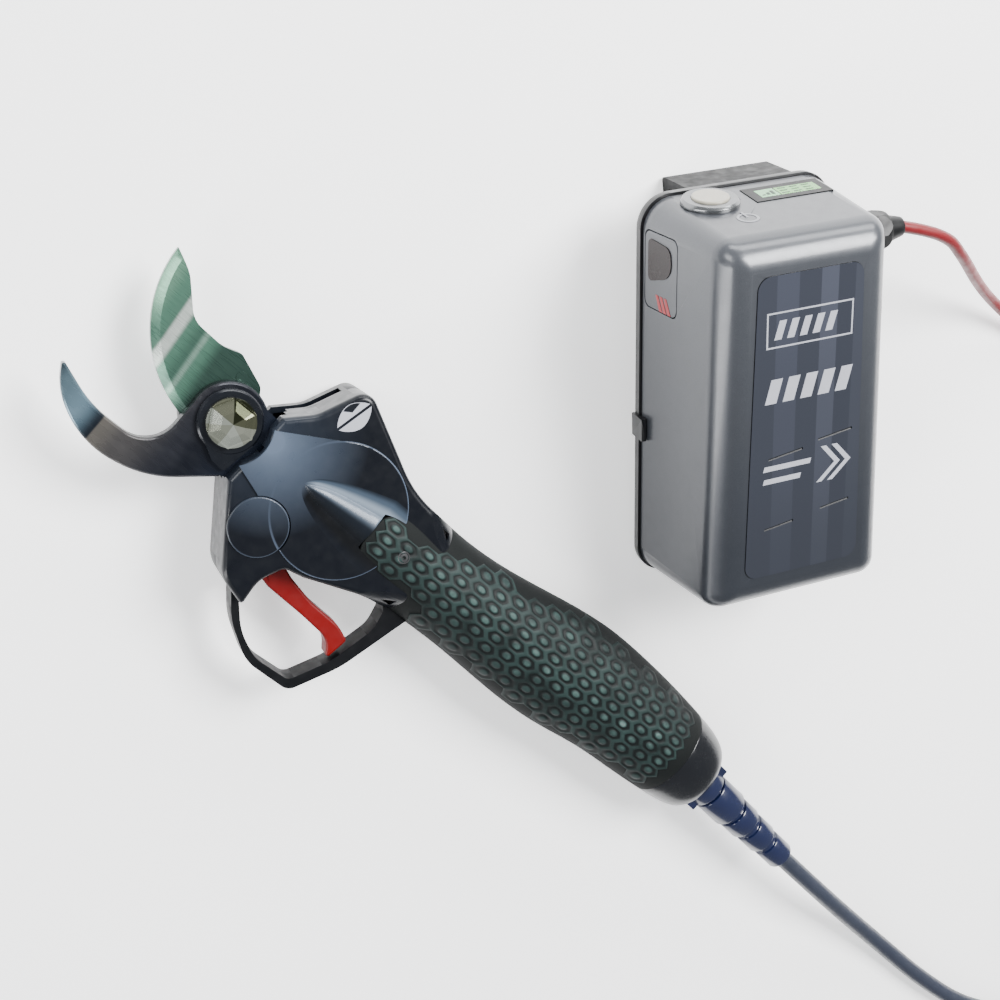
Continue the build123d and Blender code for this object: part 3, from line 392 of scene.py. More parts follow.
# Centres and radii of the round covers, and the hump of the large one
BIG_DISC = (48.5, 0.0, 14.7)
BIG_DISC_R = 24.9
SMALL_DISC = (29.6, -21.7, 14.7)
SMALL_DISC_R = 10.8
HUMP_FROM = 32.0
HUMP_LONG = 30.0
HUMP_HALF = 13.6                # half its width, where it is full
LIT_FROM = (14, 4, 14)          # centre of the painted highlight on the head, beside the pivot


def hump_shade(finish, shade):
    """The pointed hump of the cover, with painted light: a painted highlight on its upper flank, painted
    shade on the lower one.
    """
    x, y = finish.axis("X"), finish.axis("Y")
    share = finish.spread(x, HUMP_FROM, HUMP_FROM + HUMP_LONG)
    half = finish.math("ADD", finish.math("MULTIPLY", finish.math("POWER", share, 0.5), HUMP_HALF), 0.01)
    middle = finish.math("MULTIPLY_ADD", share, 2.2, -0.4)
    side = finish.math("DIVIDE", finish.math("SUBTRACT", y, middle), half)
    # Painted highlight on the upper flank, painted shade on the lower one
    painted_flank_light = finish.ramp(finish.spread(side, -1, 1), (0.0, tint(16, 20, 28)), (0.2, tint(8, 10, 14)),
                         (0.48, tint(22, 28, 36)), (0.66, tint(96, 110, 126)), (0.78, tint(140, 154, 170)),
                         (0.9, tint(70, 84, 100)), (1.0, tint(30, 38, 48)))
    within = finish.math("LESS_THAN", finish.math("ABSOLUTE", side), 1.0)
    grown = finish.math("MULTIPLY", within, finish.spread(share, 0.0, 0.12))
    return finish.mix(grown, shade, painted_flank_light)


def head_paint(name, near, bevelled=False):
    """Near-black satin paint with painted light: a painted highlight in the near colour beside the pivot;
    bevelled adds painted highlights on the round covers' rims.
    """
    finish = Finish(name, "pruner", tint(14, 18, 26), 0.32, 0.1, Coat_Weight=0.15, Coat_Roughness=0.15,
                    Specular_IOR_Level=0.22)
    # Painted highlight: lighter, in the near colour, towards the pivot
    reach = finish.spread(finish.distance(LIT_FROM), 4, 34)
    shade = finish.mix(finish.math("POWER", reach, 0.6), near, tint(12, 16, 24))
    if bevelled:
        shade = hump_shade(finish, shade)
        # Painted highlights along the round covers' rims, brighter towards +X
        for spot, radius, light in ((BIG_DISC, BIG_DISC_R, tint(104, 118, 140)),
                                    (SMALL_DISC, SMALL_DISC_R, tint(84, 94, 110))):
            rim = finish.spread(finish.distance(spot), radius - 0.6, radius - 0.2)
            outside = finish.spread(finish.distance(spot), radius + 0.4, radius + 0.2)
            lit = finish.spread(finish.math("SUBTRACT", finish.axis("X"), spot[0] - radius), 0, radius * 1.2)
            painted_light_share = finish.math("MULTIPLY", finish.math("MULTIPLY", rim, outside), lit)
            shade = finish.mix(painted_light_share, shade, light)
    finish.put("Base Color", shade)
    finish.scuff(0.26, 0.4)
    return finish.grain(1.4, 0.01, 0.15).material


def plastic(name, place, color, rough, depth=0.02, **sockets):
    """Moulded plastic or paint with a fine grain of this depth."""
    finish = Finish(name, place, color, rough, 0.0, **sockets).vary(color, 0.1, 0.15)
    finish.scuff(rough * 0.85, rough * 1.2)
    return finish.grain(2.2, depth, 0.4).material


def grip_rubber():
    """Matt rubber of the grip, under its cells."""
    color = tint(8, 14, 14)
    finish = Finish("grip_rubber", "pruner", color, 0.75, Specular_IOR_Level=0.2).vary(color, 0.25, 0.1)
    return finish.grain(1.6, 0.03, 0.4).material


def cell_rubber():
    """Rubber of the raised cells, with painted light: the value stored at each point lightens the raised dots
    and ridges and leaves the grooves dark, and painted shade darkens the cells towards the grip's upper and
    lower edges.
    """
    finish = Finish("cell_rubber", "pruner", tint(60, 80, 78), 0.6, Specular_IOR_Level=0.2)
    # Painted light of the relief: raised dots and ridges lighter, grooves dark
    painted_relief_light = finish.add("ShaderNodeAttribute", attribute_name="painted_relief_light").outputs["Fac"]
    patchy = finish.math("MULTIPLY", painted_relief_light, finish.spread(finish.noise(0.12), 0.1, 0.7), clamp=True)
    # Painted shade: the cells darker towards the grip's upper and lower edges
    edge_painted_shade = finish.ramp(finish.spread(finish.axis("Y"), -20, 26), (0.0, 0.25), (0.3, 0.6), (0.55, 1.0),
                       (0.85, 0.75), (1.0, 0.3))
    painted_light_share = finish.math("MULTIPLY", patchy, edge_painted_shade)
    finish.put("Base Color", finish.ramp(painted_light_share, (0.0, tint(8, 16, 16)), (0.4, tint(40, 58, 56)),
                                         (0.7, tint(68, 92, 88)), (1.0, tint(110, 134, 130))))
    return finish.grain(2.5, 0.02, 0.3).material


def silver_paint():
    """Silver-grey metallic paint with fine flakes, with painted shade darkening it towards the foot of the
    pack.
    """
    finish = Finish("silver_paint", "pack", tint(96, 99, 105), 0.34, 0.35, Coat_Weight=0.35,
                    Coat_Roughness=0.16)
    flakes = finish.spread(finish.noise(6.0, 2.0), 0.35, 0.7)
    bright = finish.mix(flakes, tint(80, 83, 89), tint(98, 101, 107))
    painted_shade_flakes = finish.mix(flakes, tint(50, 54, 62), tint(62, 66, 74))
    # Painted shade: darker towards the foot of the pack
    finish.put("Base Color", finish.mix(finish.spread(finish.axis("Y"), 30, 150), painted_shade_flakes, bright))
    finish.scuff(0.28, 0.36)
    return finish.bump(flakes, 0.01, 0.2).material


LABEL_PROUD = 0.345             # the label's face in front of the shell; its grooves are lower


def label_film():
    """Slate film with upright bands, with painted shade: darker towards its foot and in its grooves."""
    finish = Finish("label_film", "pack", tint(76, 82, 98), 0.28, 0.2, Coat_Weight=0.6, Coat_Roughness=0.1)
    across = finish.spread(finish.axis("X"), -24, 24)
    bands = finish.ramp(across, (0.0, tint(58, 62, 74)), (0.22, tint(70, 74, 88)), (0.4, tint(56, 60, 72)),
                        (0.58, tint(78, 82, 96)), (0.72, tint(54, 58, 70)), (0.86, tint(66, 70, 82)),
                        step=True)
    # Painted shade, darker towards the label's foot
    up = finish.spread(finish.axis("Y"), 18, 133)
    shade = finish.mix(finish.ramp(up, (0.0, 0.75), (0.5, 0.35), (1.0, 0.0)), bands, tint(44, 48, 58))
    # Painted shade in the grooves
    groove_painted_shade = finish.spread(finish.axis("Z"), PACK_D + LABEL_PROUD, PACK_D + LABEL_PROUD - 0.015)
    finish.put("Base Color", finish.mix(groove_painted_shade, shade, tint(24, 26, 32)))
    return finish.grain(1.2, 0.01, 0.3, (1, 0.3, 1)).material


def glow(name, color, strength):
    """Lit display pane, a little uneven."""
    finish = Finish(name, "pack", color, 0.25, 0.0, Coat_Weight=0.5)
    pattern = finish.mix(finish.spread(finish.noise(1.2), 0.3, 0.7), tuple(c * 0.85 for c in color), color)
    finish.put("Base Color", pattern)
    finish.put("Emission Color", pattern)
    finish.put("Emission Strength", strength)
    return finish.material


def jacket(name, color, rough):
    """Extruded lead jacket, with faint marks along it."""
    finish = Finish(name, "world", color, rough, 0.0, Coat_Weight=0.15).vary(color, 0.16, 0.06)
    finish.scuff(rough * 0.8, rough * 1.3, 0.3)
    return finish.grain(0.9, 0.04, 0.5).material


FINISHES = {
    "coated_blade": coated_blade(),
    "hook_steel": hook_steel(),
    "faceted_bolt": faceted_bolt(),
    "zinc": bare_steel("zinc", 0.55, 0.32),
    "dark_screw": bare_steel("dark_screw", 0.10, 0.35),
    "gear_steel": bare_steel("gear_steel", 0.32, 0.38),
    "bronze": plastic("bronze", "pruner", tint(150, 110, 62), 0.35, Metallic=0.9),
    "head_rear": head_paint("head_rear", tint(44, 52, 64)),
    "cover": head_paint("cover", tint(100, 114, 134), bevelled=True),
    "guard": plastic("guard", "pruner", tint(10, 12, 16), 0.42, Specular_IOR_Level=0.2),
    "ring_black": plastic("ring_black", "pruner", tint(24, 28, 36), 0.25, Metallic=0.4),
    "trigger_red": plastic("trigger_red", "pruner", tint(132, 0, 0), 0.42, Specular_IOR_Level=0.3),
    "grip_rubber": grip_rubber(),
    "cell_rubber": cell_rubber(),
    "handle_black": plastic("handle_black", "pruner", tint(16, 19, 25), 0.3, Coat_Weight=0.3),
    "cap_black": plastic("cap_black", "pruner", tint(8, 11, 18), 0.24, 0.01, Coat_Weight=0.15,
                         Coat_Roughness=0.1),
    "relief_navy": plastic("relief_navy", "pruner", tint(20, 30, 66), 0.22, Coat_Weight=0.4,
                           Coat_Roughness=0.12),
    "board_green": plastic("board_green", "pruner", tint(20, 70, 44), 0.5),
    "silver_paint": silver_paint(),
    "pack_black": plastic("pack_black", "pack", tint(20, 21, 24), 0.36, Coat_Weight=0.15),
    "hook_black": plastic("hook_black", "pack", tint(12, 13, 15), 0.5, Specular_IOR_Level=0.2),
    "label_film": label_film(),
    "button_silver": plastic("button_silver", "pack", tint(150, 152, 154), 0.22, 0.01, Metallic=0.85),
    "button_cream": plastic("button_cream", "pack", tint(196, 190, 172), 0.35, 0.01, Coat_Weight=0.3),
    "screen_black": plastic("screen_black", "pack", tint(4, 5, 6), 0.3, 0.004, Specular_IOR_Level=0.15),
    "screen_mint": glow("screen_mint", tint(120, 206, 132), 0.35),
    "screen_green": glow("screen_green", tint(84, 186, 52), 0.35),
    "screen_marks": plastic("screen_marks", "pack", tint(22, 66, 36), 0.4, 0.004),
    "mark_grey": plastic("mark_grey", "pack", tint(168, 170, 176), 0.3, 0.01, Metallic=0.3),
    "print_light": plastic("print_light", "world", tint(200, 202, 212), 0.4, 0.004, Specular_IOR_Level=0.2),
    "mark_red": plastic("mark_red", "pack", tint(178, 14, 30), 0.35, 0.01),
    "window_brown": plastic("window_brown", "pack", tint(34, 22, 22), 0.25, 0.004, Specular_IOR_Level=0.25),
    "cell_foil": plastic("cell_foil", "pack", tint(150, 154, 160), 0.3, 0.05, Metallic=0.7),
    "gland_black": plastic("gland_black", "pack", tint(8, 9, 11), 0.4, Specular_IOR_Level=0.25),
    "plug_black": plastic("plug_black", "world", tint(20, 22, 28), 0.34, Coat_Weight=0.3),
    "jacket_dark": jacket("jacket_dark", tint(44, 50, 66), 0.4),
    "jacket_red": jacket("jacket_red", tint(140, 0, 16), 0.42),
}
NODE_FINISHES = {
    "coated_blade": ["cutting_blade", "blade_fitting"],
    "hook_steel": ["hook_blade"],
    "faceted_bolt": ["pivot_bolt"],
    "zinc": ["sector_rivets", "pivot_nut", "trigger_spring", "trigger_pin", "head_screws"],
    "dark_screw": ["hook_screws", "pack_screws", "button_spring", "button_nut"],
    "gear_steel": ["drive_sector", "cross_shaft", "spur_pinion", "bevel_gear", "bevel_pinion", "output_shaft",
                   "gearbox", "motor_can", "motor_rotor", "lower_bearing"],
    "bronze": ["pivot_bush"],
    "head_rear": ["head_rear", "head_front"],
    "cover": ["gear_cover", "small_cover"],
    "guard": ["trigger_guard"],
    "ring_black": ["lock_ring"],
    "trigger_red": ["trigger"],
    "grip_rubber": ["rubber_grip"],
    "handle_black": ["handle_front", "handle_rear"],
    "cap_black": ["end_cap"],
    "relief_navy": ["strain_relief"],
    "board_green": ["control_board", "trigger_sensor", "bms_board"],
    "silver_paint": ["pack_front_shell", "charge_door"],
    "pack_black": ["pack_back_plate", "pack_gasket", "charge_socket"],
    "hook_black": ["belt_hook"],
    "label_film": ["label_panel"],
    "button_silver": ["button_bezel"],
    "button_cream": ["power_button"],
    "screen_black": ["display_window", "display_module"],
    "mark_grey": ["power_ring"],
    "window_brown": ["door_window"],
    "cell_foil": ["pouch_cells"],
    "gland_black": ["lead_gland", "gland_nut"],
    "plug_black": ["lead_plug", "lead_socket"],
    "jacket_dark": ["tool_lead", "lead_coil"],
    "jacket_red": ["pack_lead"],
}
# Rounding of the nodes' sharp edges, in millimetres
SOFT_EDGES = {
    "pack_front_shell": 0.8, "pack_back_plate": 0.6, "belt_hook": 0.8, "trigger": 0.6, "end_cap": 0.6,
    "gear_cover": 0.35, "small_cover": 0.3, "head_front": 0.45, "head_rear": 0.45, "trigger_guard": 0.5,
    "hook_blade": 0.12, "cutting_blade": 0.12, "strain_relief": 0.5, "power_button": 0.4,
    "button_bezel": 0.3, "lead_plug": 0.5, "lead_socket": 0.5, "gland_nut": 0.35, "lead_gland": 0.35,
}
PLAIN_EDGE = 0.15               # every other node's
SHARP_FROM = 32                 # degrees between faces
WELD = 1e-6                     # m
# Inner pieces, thin or round ones and the leads' plain solids stay as they are
NO_EDGE = {
    "motor_can", "motor_rotor", "gearbox", "pouch_cells", "control_board", "bms_board", "trigger_spring",
    "button_spring", "lower_bearing", "pack_gasket", "tool_lead", "lead_coil", "pack_lead", "label_panel",
    "power_ring", "display_module", "trigger_sensor",
}


def soften(thing, width):
    """Rounds the sharp edges of a mesh so that they catch the light."""
    weld = thing.modifiers.new("weld", "WELD")
    weld.merge_threshold = WELD
    edge = thing.modifiers.new("edge", "BEVEL")
    edge.width = width * MM
    edge.segments = 2
    edge.limit_method = "ANGLE"
    edge.angle_limit = radians(SHARP_FROM)


def dress(thing, finish):
    """Gives a thing this finish all over."""
    thing.data.materials.clear()
    thing.data.materials.append(FINISHES[finish])


for finish_name, node_names in NODE_FINISHES.items():
    for node_name in node_names:
        node = frame["nodes"][node_name]
        dress(node, finish_name)
        if node_name not in NO_EDGE:
            soften(node, SOFT_EDGES.get(node_name, PLAIN_EDGE))
dress(TOOL_JACKET, "jacket_dark")
dress(PACK_JACKET, "jacket_red")


# =====================================================================  small pieces
def piece(name, verts, faces, place, finish, body):
    """A mesh piece from points in millimetres under a placing matrix; it rides on a body."""
    data = bpy.data.meshes.new(name)
    data.from_pydata([tuple(place @ Vector(v)) for v in verts], [], faces)
    data.update()
    thing = bpy.data.objects.new(name, data)
    bpy.context.scene.collection.objects.link(thing)
    dress(thing, finish)
    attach(thing, body)
    return thing


CREASE_FROM = 35                # degrees between faces


def smooth(thing):
    """Smooth shading that keeps the creases."""
    thing.data.shade_smooth()
    thing.data.set_sharp_from_angle(angle=radians(CREASE_FROM))


def ring_faces(rings, count, start=0):
    """Faces between neighbouring rings of this many points each, the first at this index."""
    faces = []
    for level in range(rings - 1):
        low, high = start + level * count, start + (level + 1) * count
        faces += [(low + i, low + (i + 1) % count, high + (i + 1) % count, high + i) for i in range(count)]
    return faces


def prism_faces(count, start=0):
    """Underside, top and edge of a flat piece with this many corners."""
    under = range(start, start + count)
    top = range(start + count, start + 2 * count)
    return [tuple(reversed(under)), tuple(top)] + ring_faces(2, count, start)


def slab(name, outline, low, high, place, finish, slot, body, edge=0.0):
    """A flat piece with this outline, between two heights."""
    verts = [(x, y, height) for height in (low, high) for x, y in outline]
    thing = piece(name, verts, prism_faces(len(outline)), place, finish, body)
    if edge:
        soften(thing, edge)


def box_outline(left, right, low, high, slant=0.0):
    """Four corners; slant moves the upper two to the right."""
    return [(left, low), (right, low), (right + slant, high), (left + slant, high)]


RAY_FROM = 90.0                 # rays start this far out, beyond every piece


def surface_tree(nodes, place):
    """What rays can hit, in the local frame: these nodes as one tree."""
    verts, faces = [], []
    inverse = place.inverted()
    for name in nodes:
        mesh = frame["nodes"][name].data
        start = len(verts)
        verts += [inverse @ v.co for v in mesh.vertices]
        faces += [tuple(start + i for i in polygon.vertices) for polygon in mesh.polygons]
    return BVHTree.FromPolygons(verts, faces)


# --------------------------------------------------------------------- grip cells
CELL_PITCH = 8.2                # between rows, along the handle
CELL_WIDTH = 5.1                # across it
CELL_FROM = 60.0
CELL_TO = 228.0
CELL_SPREAD = 26.0              # to each side of the middle line
CELL_SIDE_POINTS = 3            # to each side of a hexagon
CELL_RINGS = [(1.0, 0.30, 0.55), (0.86, 0.26, 0.5), (0.74, 0.04, 0.0), (0.52, 0.04, 0.05), (0.44, 0.30, 0.5),
              (0.28, 0.42, 0.95)]         # share of the cell, height and painted light (lighter on raised parts, dark in the grooves), from the rim inwards
CELL_MIDDLE = (0.46, 1.0)       # height and painted light
CELL_OVAL = 0.52                # half axes of the inner oval, as shares of pitch and width
CELL_STEEP = 0.2                # least upward part of the surface's normal
CELL_DROP = 9.0                 # most that a rim may fall from end to end
SKIRT = 0.6                     # how far the rims reach down into the rubber
FLOOR_CLEAR = 0.02              # least height of the hidden side's cells
SAME_POINT = 0.02               # rim points of neighbours this near are joined


def hexagon():
    """Outline of a cell, pointed along the handle."""
    tip, half = CELL_PITCH * 2 / 3, CELL_WIDTH / 2
    corners = [(tip, 0), (tip / 2, half), (-tip / 2, half), (-tip, 0), (-tip / 2, -half), (tip / 2, -half)]
    outline = []
    for (x, y), (next_x, next_y) in zip(corners, corners[1:] + corners[:1]):
        for point in range(CELL_SIDE_POINTS):
            share = point / CELL_SIDE_POINTS
            outline.append((x + (next_x - x) * share, y + (next_y - y) * share))
    return outline


def cell_shape(share, outline):
    """One ring of a cell: the hexagon's outline outside, an oval inside."""
    oval = min(1.0, (1.0 - share) * 1.8)
    ring = []
    for x, y in outline:
        angle = atan2(y / CELL_WIDTH, x / CELL_PITCH)
        ring.append((share * (x * (1 - oval) + oval * cos(angle) * CELL_PITCH * CELL_OVAL),
                     share * (y * (1 - oval) + oval * sin(angle) * CELL_WIDTH * CELL_OVAL)))
    return ring


def cell_centres():
    """Middles of the staggered rows."""
    rows = int((CELL_TO - CELL_FROM) / CELL_PITCH)
    across = int(CELL_SPREAD / CELL_WIDTH)
    return [(CELL_FROM + row * CELL_PITCH, (column + 0.5 * (row % 2)) * CELL_WIDTH)
            for row in range(rows + 1) for column in range(-across, across + 1)]


def on_grip(tree, x, y, side):
    """The grip's surface and normal at this place; nothing where it is too steep or turns under."""
    spot, normal, _, _ = tree.ray_cast(Vector((x, y, side * RAY_FROM)), Vector((0, 0, -side)))
    if spot is None or normal.z * side < CELL_STEEP or spot.z * side < 0:
        return None
    return spot, normal


def cell_points(tree, centre, side, outline):
    """A cell's points ring by ring, with its middle last; nothing where it doesn't fit on the grip."""
    points = []
    for share, height, _ in CELL_RINGS:
        hits = [on_grip(tree, centre[0] + x, centre[1] + y, side) for x, y in cell_shape(share, outline)]
        if None in hits:
            return None
        points += [spot + normal * height for spot, normal in hits]
    middle = on_grip(tree, *centre, side)
    heights = [point.z for point in points[:len(outline)]]
    if middle is None or max(heights) - min(heights) > CELL_DROP:
        return None
    return points + [middle[0] + middle[1] * CELL_MIDDLE[0]]


def add_skirt(mesh, side):
    """Joins neighbouring rims, and takes the open ones down into the rubber."""
    skirt = bmesh.new()
    skirt.from_mesh(mesh)
    bmesh.ops.remove_doubles(skirt, verts=skirt.verts, dist=SAME_POINT * MM)
    rim = [edge for edge in skirt.edges if edge.is_boundary]
    grown = bmesh.ops.extrude_edge_only(skirt, edges=rim)["geom"]
    for vert in (v for v in grown if isinstance(v, bmesh.types.BMVert)):
        vert.co.z -= side * SKIRT * MM
    skirt.to_mesh(mesh)
    skirt.free()


def make_cells(name, side):
    """The raised lattice on one side of the grip; side is 1 for the visible one and -1 for the hidden one."""
    tree = surface_tree(["rubber_grip"], PRUNER)
    outline = hexagon()
    count = len(outline)
    cell_tones = [painted_relief_light for _, _, painted_relief_light in CELL_RINGS for _ in outline] + [CELL_MIDDLE[1]]
    verts, tones, faces = [], [], []
    for centre in cell_centres():
        points = cell_points(tree, centre, side, outline)
        if points is None:
            continue
        start, middle = len(verts), len(verts) + len(points) - 1
        verts += points
        tones += cell_tones
        faces += [face[::side] for face in ring_faces(len(CELL_RINGS), count, start)]
        inner = middle - count
        faces += [(inner + i, inner + (i + 1) % count, middle)[::side] for i in range(count)]
    above_floor = [Vector((v.x, v.y, max(v.z, FLOOR_CLEAR - HALF_THICK))) for v in verts]
    thing = piece(name, above_floor, faces, PRUNER, "cell_rubber", "root")
    store = thing.data.attributes.new("painted_relief_light", "FLOAT", "POINT")
    store.data.foreach_set("value", tones)
    add_skirt(thing.data, side)
    thing.data.shade_smooth()


make_cells("grip_cells", 1)
make_cells("grip_cells_hidden_side", -1)


# --------------------------------------------------------------------- screw in the grip's tongue
SCREW_AT = (77.1, 1.6)
SCREW_STEPS = 36
SCREW_RINGS = [(2.3, -0.4), (2.3, 0.22), (2.15, 0.4), (1.85, 0.4), (1.75, 0.12), (1.6, 0.12), (1.5, 0.34),
               (0.95, 0.4)]     # radius and height, from the outside inwards
RECESS_HALF = 0.7               # from the middle to a flat of the hexagon
RECESS_TOP = 0.4
RECESS_FLOOR = -0.3


def make_tongue_screw():
    """A sunk-head screw with a hexagon recess."""
    tree = surface_tree(["rubber_grip", "handle_front", "head_front"], PRUNER)
    spot, _, _, _ = tree.ray_cast(Vector((*SCREW_AT, RAY_FROM)), Vector((0, 0, -1)))
    angles = [tau * i / SCREW_STEPS for i in range(SCREW_STEPS)]
    corners = [(radius, height, angle) for radius, height in SCREW_RINGS for angle in angles]
    corners += [(RECESS_HALF / cos(angle % (tau / 6) - tau / 12), height, angle)
                for height in (RECESS_TOP, RECESS_FLOOR) for angle in angles]
    verts = [spot + Vector((radius * cos(angle), radius * sin(angle), height))
             for radius, height, angle in corners]
    faces = ring_faces(len(SCREW_RINGS) + 2, SCREW_STEPS)
    faces.append(tuple(range(len(verts) - SCREW_STEPS, len(verts))))
    smooth(piece("tongue_screw", verts, faces, PRUNER, "dark_screw", "root"))


make_tongue_screw()


# --------------------------------------------------------------------- top of the pack
def on_top(x, z):
    """Frame on the pack's sloping top: +Z out of it, X to the right, Y towards the back."""
    return (PACK @ Matrix.Translation((x, PACK_H, PLATE_T)) @ Matrix.Rotation(TOP_TILT, 4, "X")
            @ Matrix.Translation((0, 0, z - PLATE_T)) @ Matrix.Rotation(-pi / 2, 4, "X"))


PANE_LOW = -3.4
PANE_HIGH = 3.4
PANE_RISE = (0.2, 0.36)         # foot and face above the pack's top
BAR_RISE = (0.3, 0.42)
PANES = [("display_left", "screen_mint", -11.6, -4.2), ("display_right", "screen_green", -3.8, 12.4)]


def make_display():
    """Two lit panes with plain bars: rising ones on the left, three stacks of three on the right."""
    top = on_top(*DISPLAY)
    for name, finish, left, right in PANES:
        slab(name, box_outline(left, right, PANE_LOW, PANE_HIGH), *PANE_RISE, top, finish, "display_green",
             "root", 0.05)
    bars = [box_outline(-10.8 + 2.0 * i, -9.5 + 2.0 * i, -2.0, -1.2 + 1.3 * i, 0.3) for i in range(3)]
    for left in (-2.6, 2.2, 7.0):
        bars += [box_outline(left - back, left - back + 3.0, low, low + 0.6, 0.1)
                 for back, low in ((0.0, 1.9), (0.2, -0.3), (0.4, -2.5))]
    for i, outline in enumerate(bars):
        slab(f"display_bar_{i}", outline, *BAR_RISE, top, "screen_marks", "display_body", "root")


def make_ring_bar():
    """The upright stroke of the ring symbol."""
    slab("power_bar", box_outline(-0.45, 0.45, 0.8, 5.2), -0.2, 0.35, on_top(*RING_MARK), "mark_grey",
         "button_silver", "root", 0.1)


DOOR_MARK_LOW = 112.0
DOOR_MARK_HIGH = 117.6
DOOR_MARK_CORNERS = [(DOOR_MARK_LOW, 16.2), (DOOR_MARK_LOW, 18.2), (DOOR_MARK_HIGH, 15.2),
                     (DOOR_MARK_HIGH, 13.6)]
DOOR_MARK_STEP = 2.7
DOOR_MARK_RISE = (-0.1, 0.14)   # foot and face above the door


def make_door_marks():
    """Three slanted red strokes under the door's window."""
    tree = surface_tree(["charge_door"], PACK)
    for i in range(3):
        hits = [tree.ray_cast(Vector((-RAY_FROM, y, z + DOOR_MARK_STEP * i)), Vector((1, 0, 0)))[:2]
                for y, z in DOOR_MARK_CORNERS]
        verts = [spot + normal * height for height in DOOR_MARK_RISE for spot, normal in hits]
        faces = [face[::-1] for face in prism_faces(len(hits))]
        piece(f"door_mark_{i}", verts, faces, PACK, "mark_red", "charge_door")


# Spring under the power button, in the button's frame
SPRING_FOOT = -9.85
SPRING_HEAD = -5.65
SPRING_TURNS = 5
SPRING_TURN_STEPS = 24
SPRING_R = 3.65
SPRING_WIRE = 0.28              # half the wire's thickness
WIRE_SIDES = 8


def make_button_spring():
    """Coil spring that the power button presses together."""
    place = on_top(*BUTTON)
    steps = SPRING_TURN_STEPS * SPRING_TURNS
    low, high = SPRING_FOOT + SPRING_WIRE, SPRING_HEAD - SPRING_WIRE
    verts = []
    for step in range(steps + 1):
        around = tau * step / SPRING_TURN_STEPS
        height = low + (high - low) * step / steps
        for side in range(WIRE_SIDES):
            angle = tau * side / WIRE_SIDES
            reach = SPRING_R + SPRING_WIRE * cos(angle)
            verts.append((reach * cos(around), reach * sin(around), height + SPRING_WIRE * sin(angle)))
    faces = ring_faces(steps + 1, WIRE_SIDES)
    faces += [tuple(range(WIRE_SIDES)), tuple(reversed(range(len(verts) - WIRE_SIDES, len(verts))))]
    spring = piece("button_coil_spring", verts, faces, place, "dark_screw", "root")
    smooth(spring)
    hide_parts("button_spring")
    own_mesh(spring)


# --------------------------------------------------------------------- printed marks
PRINT_RISE = (-0.05, 0.05)      # foot and face above the surface
LEAF_AT = (28.9, 21.4)          # its lower tip
LEAF_HEADING = radians(76)
LEAF_LONG = 14.0
LEAF_HALF = 4.2                 # width of half a leaf
LEAF_RIB = 0.5                  # from the middle line to each half
LEAF_STEPS = 12


def draped(name, strokes, node, place):
    """Thin printed strokes, each an outline of (x, y), laid on the node's surface below them."""
    tree = surface_tree([node], place)
    verts, faces = [], []
    for outline in strokes:
        hits = [tree.ray_cast(Vector((x, y, RAY_FROM)), Vector((0, 0, -1)))[:2] for x, y in outline]
        faces += prism_faces(len(outline), len(verts))
        verts += [spot + normal * height for height in PRINT_RISE for spot, normal in hits]
    piece(name, verts, faces, place, "print_light", "root")


def half_leaf(side):
    """Outline of the blade on one side of the midrib; side is 1 or -1."""
    outline = []
    for step in range(LEAF_STEPS + 1):
        share = step / LEAF_STEPS
        outline.append((LEAF_LONG * share, side * (LEAF_RIB + LEAF_HALF * sin(pi * share) ** 0.8)))
    outline += [(LEAF_LONG * share, side * LEAF_RIB) for share in (0.75, 0.5, 0.25)]
    x, y = LEAF_AT
    turn_x, turn_y = cos(LEAF_HEADING), sin(LEAF_HEADING)
    turned = [(x + u * turn_x - v * turn_y, y + u * turn_y + v * turn_x) for u, v in outline]
    return turned[::side]


def make_leaf_mark():
    """Plain leaf printed on the head's ear."""
    draped("leaf_mark", [half_leaf(side) for side in (1, -1)], "head_front", PRUNER)


def make_label_marks():
    """Frame, slanted bars, two strokes and a double chevron printed on the pack's label."""
    half, line, low, high = 17.0, 0.6, 107.0, 120.0
    strokes = [box_outline(-half, half, high - line, high), box_outline(-half, half, low, low + line),
               box_outline(-half, line - half, low + line, high - line),
               box_outline(half - line, half, low + line, high - line)]
    strokes += [box_outline(-14 + 5.0 * i, -11.2 + 5.0 * i, 110.0, 116.8, 2.0) for i in range(5)]
    strokes += [box_outline(-half + 7.0 * i, -12.5 + 7.0 * i, 86.5, 95.5, 2.4) for i in range(5)]
    strokes += [box_outline(-half, 2, 60.5, 62.5, 0.5), box_outline(-half, -2, 55.5, 57.5, 0.5)]
    for x in (5.0, 9.5):
        strokes.append([(x, 52), (x + 2.2, 52), (x + 9.5, 59), (x + 3.5, 66), (x + 1.3, 66), (x + 7.2, 59)])
    draped("label_marks", strokes, "label_panel", PACK)


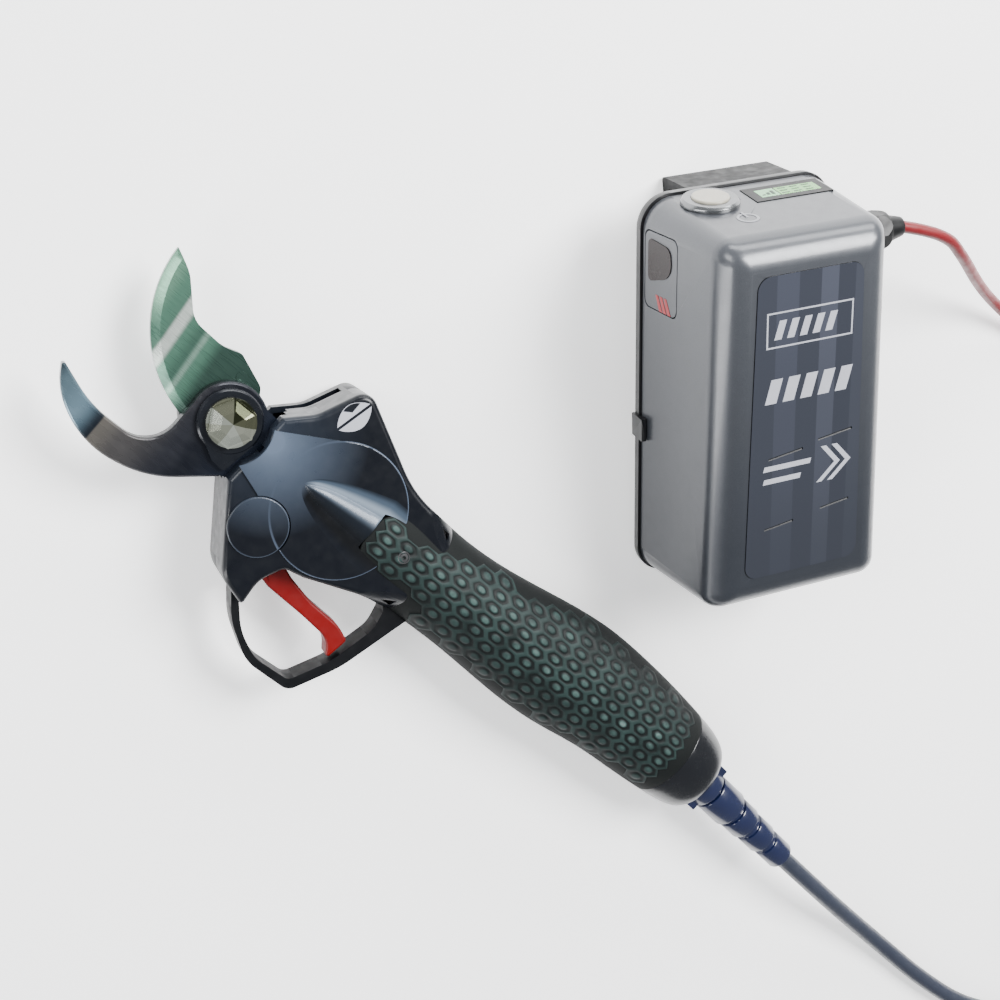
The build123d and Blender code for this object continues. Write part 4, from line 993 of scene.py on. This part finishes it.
make_display()
make_ring_bar()
make_door_marks()
make_button_spring()
make_leaf_mark()
make_label_marks()


# =====================================================================  floor and light
FLOOR_SIZE = 30
FLOOR_UNDER = 0.0002            # the floor lies this far under the object


def make_floor():
    """Plain pale floor with a faint glow of its own, which keeps it even."""
    bpy.ops.mesh.primitive_plane_add(size=FLOOR_SIZE, location=(0, 0, -FLOOR_UNDER))
    floor = bpy.context.active_object
    floor.name = "floor"
    material = bpy.data.materials.new("floor")
    material.use_nodes = True
    shader = material.node_tree.nodes["Principled BSDF"]
    shader.inputs["Base Color"].default_value = (0.92, 0.92, 0.92, 1)
    shader.inputs["Roughness"].default_value = 0.75
    shader.inputs["Emission Color"].default_value = (1, 1, 1, 1)
    shader.inputs["Emission Strength"].default_value = 0.6
    floor.data.materials.append(material)


def area_light(name, spot, aim, size, power, size_y=None):
    """Square light, or an oblong one with size_y, of this many watts."""
    data = bpy.data.lights.new(name, "AREA")
    data.energy = power
    data.size = size
    if size_y:
        data.shape = "RECTANGLE"
        data.size_y = size_y
    lamp = bpy.data.objects.new(name, data)
    lamp.location = spot
    lamp.rotation_mode = "QUATERNION"
    lamp.rotation_quaternion = (Vector(aim) - Vector(spot)).to_track_quat("-Z", "Y")
    bpy.context.scene.collection.objects.link(lamp)


def make_light():
    """Pale sky, a large key light, two strips for long highlights and a fill."""
    world = bpy.data.worlds.new("studio")
    bpy.context.scene.world = world
    world.use_nodes = True
    back = world.node_tree.nodes["Background"]
    back.inputs["Color"].default_value = (0.93, 0.96, 1.0, 1)
    back.inputs["Strength"].default_value = 0.5
    area_light("key", (0.75, 0.65, 1.15), (0.0, 0.0, 0.0), 0.7, 62)
    area_light("left_strip", (-1.05, -0.5, 0.42), (0.0, 0.0, 0.02), 0.3, 16, 1.2)
    area_light("back_strip", (0.35, 1.2, 0.42), (0.05, 0.0, 0.03), 1.2, 16, 0.3)
    area_light("left_fill", (-0.9, 0.5, 0.9), (0.0, 0.0, 0.0), 0.6, 12)


make_floor()
make_light()
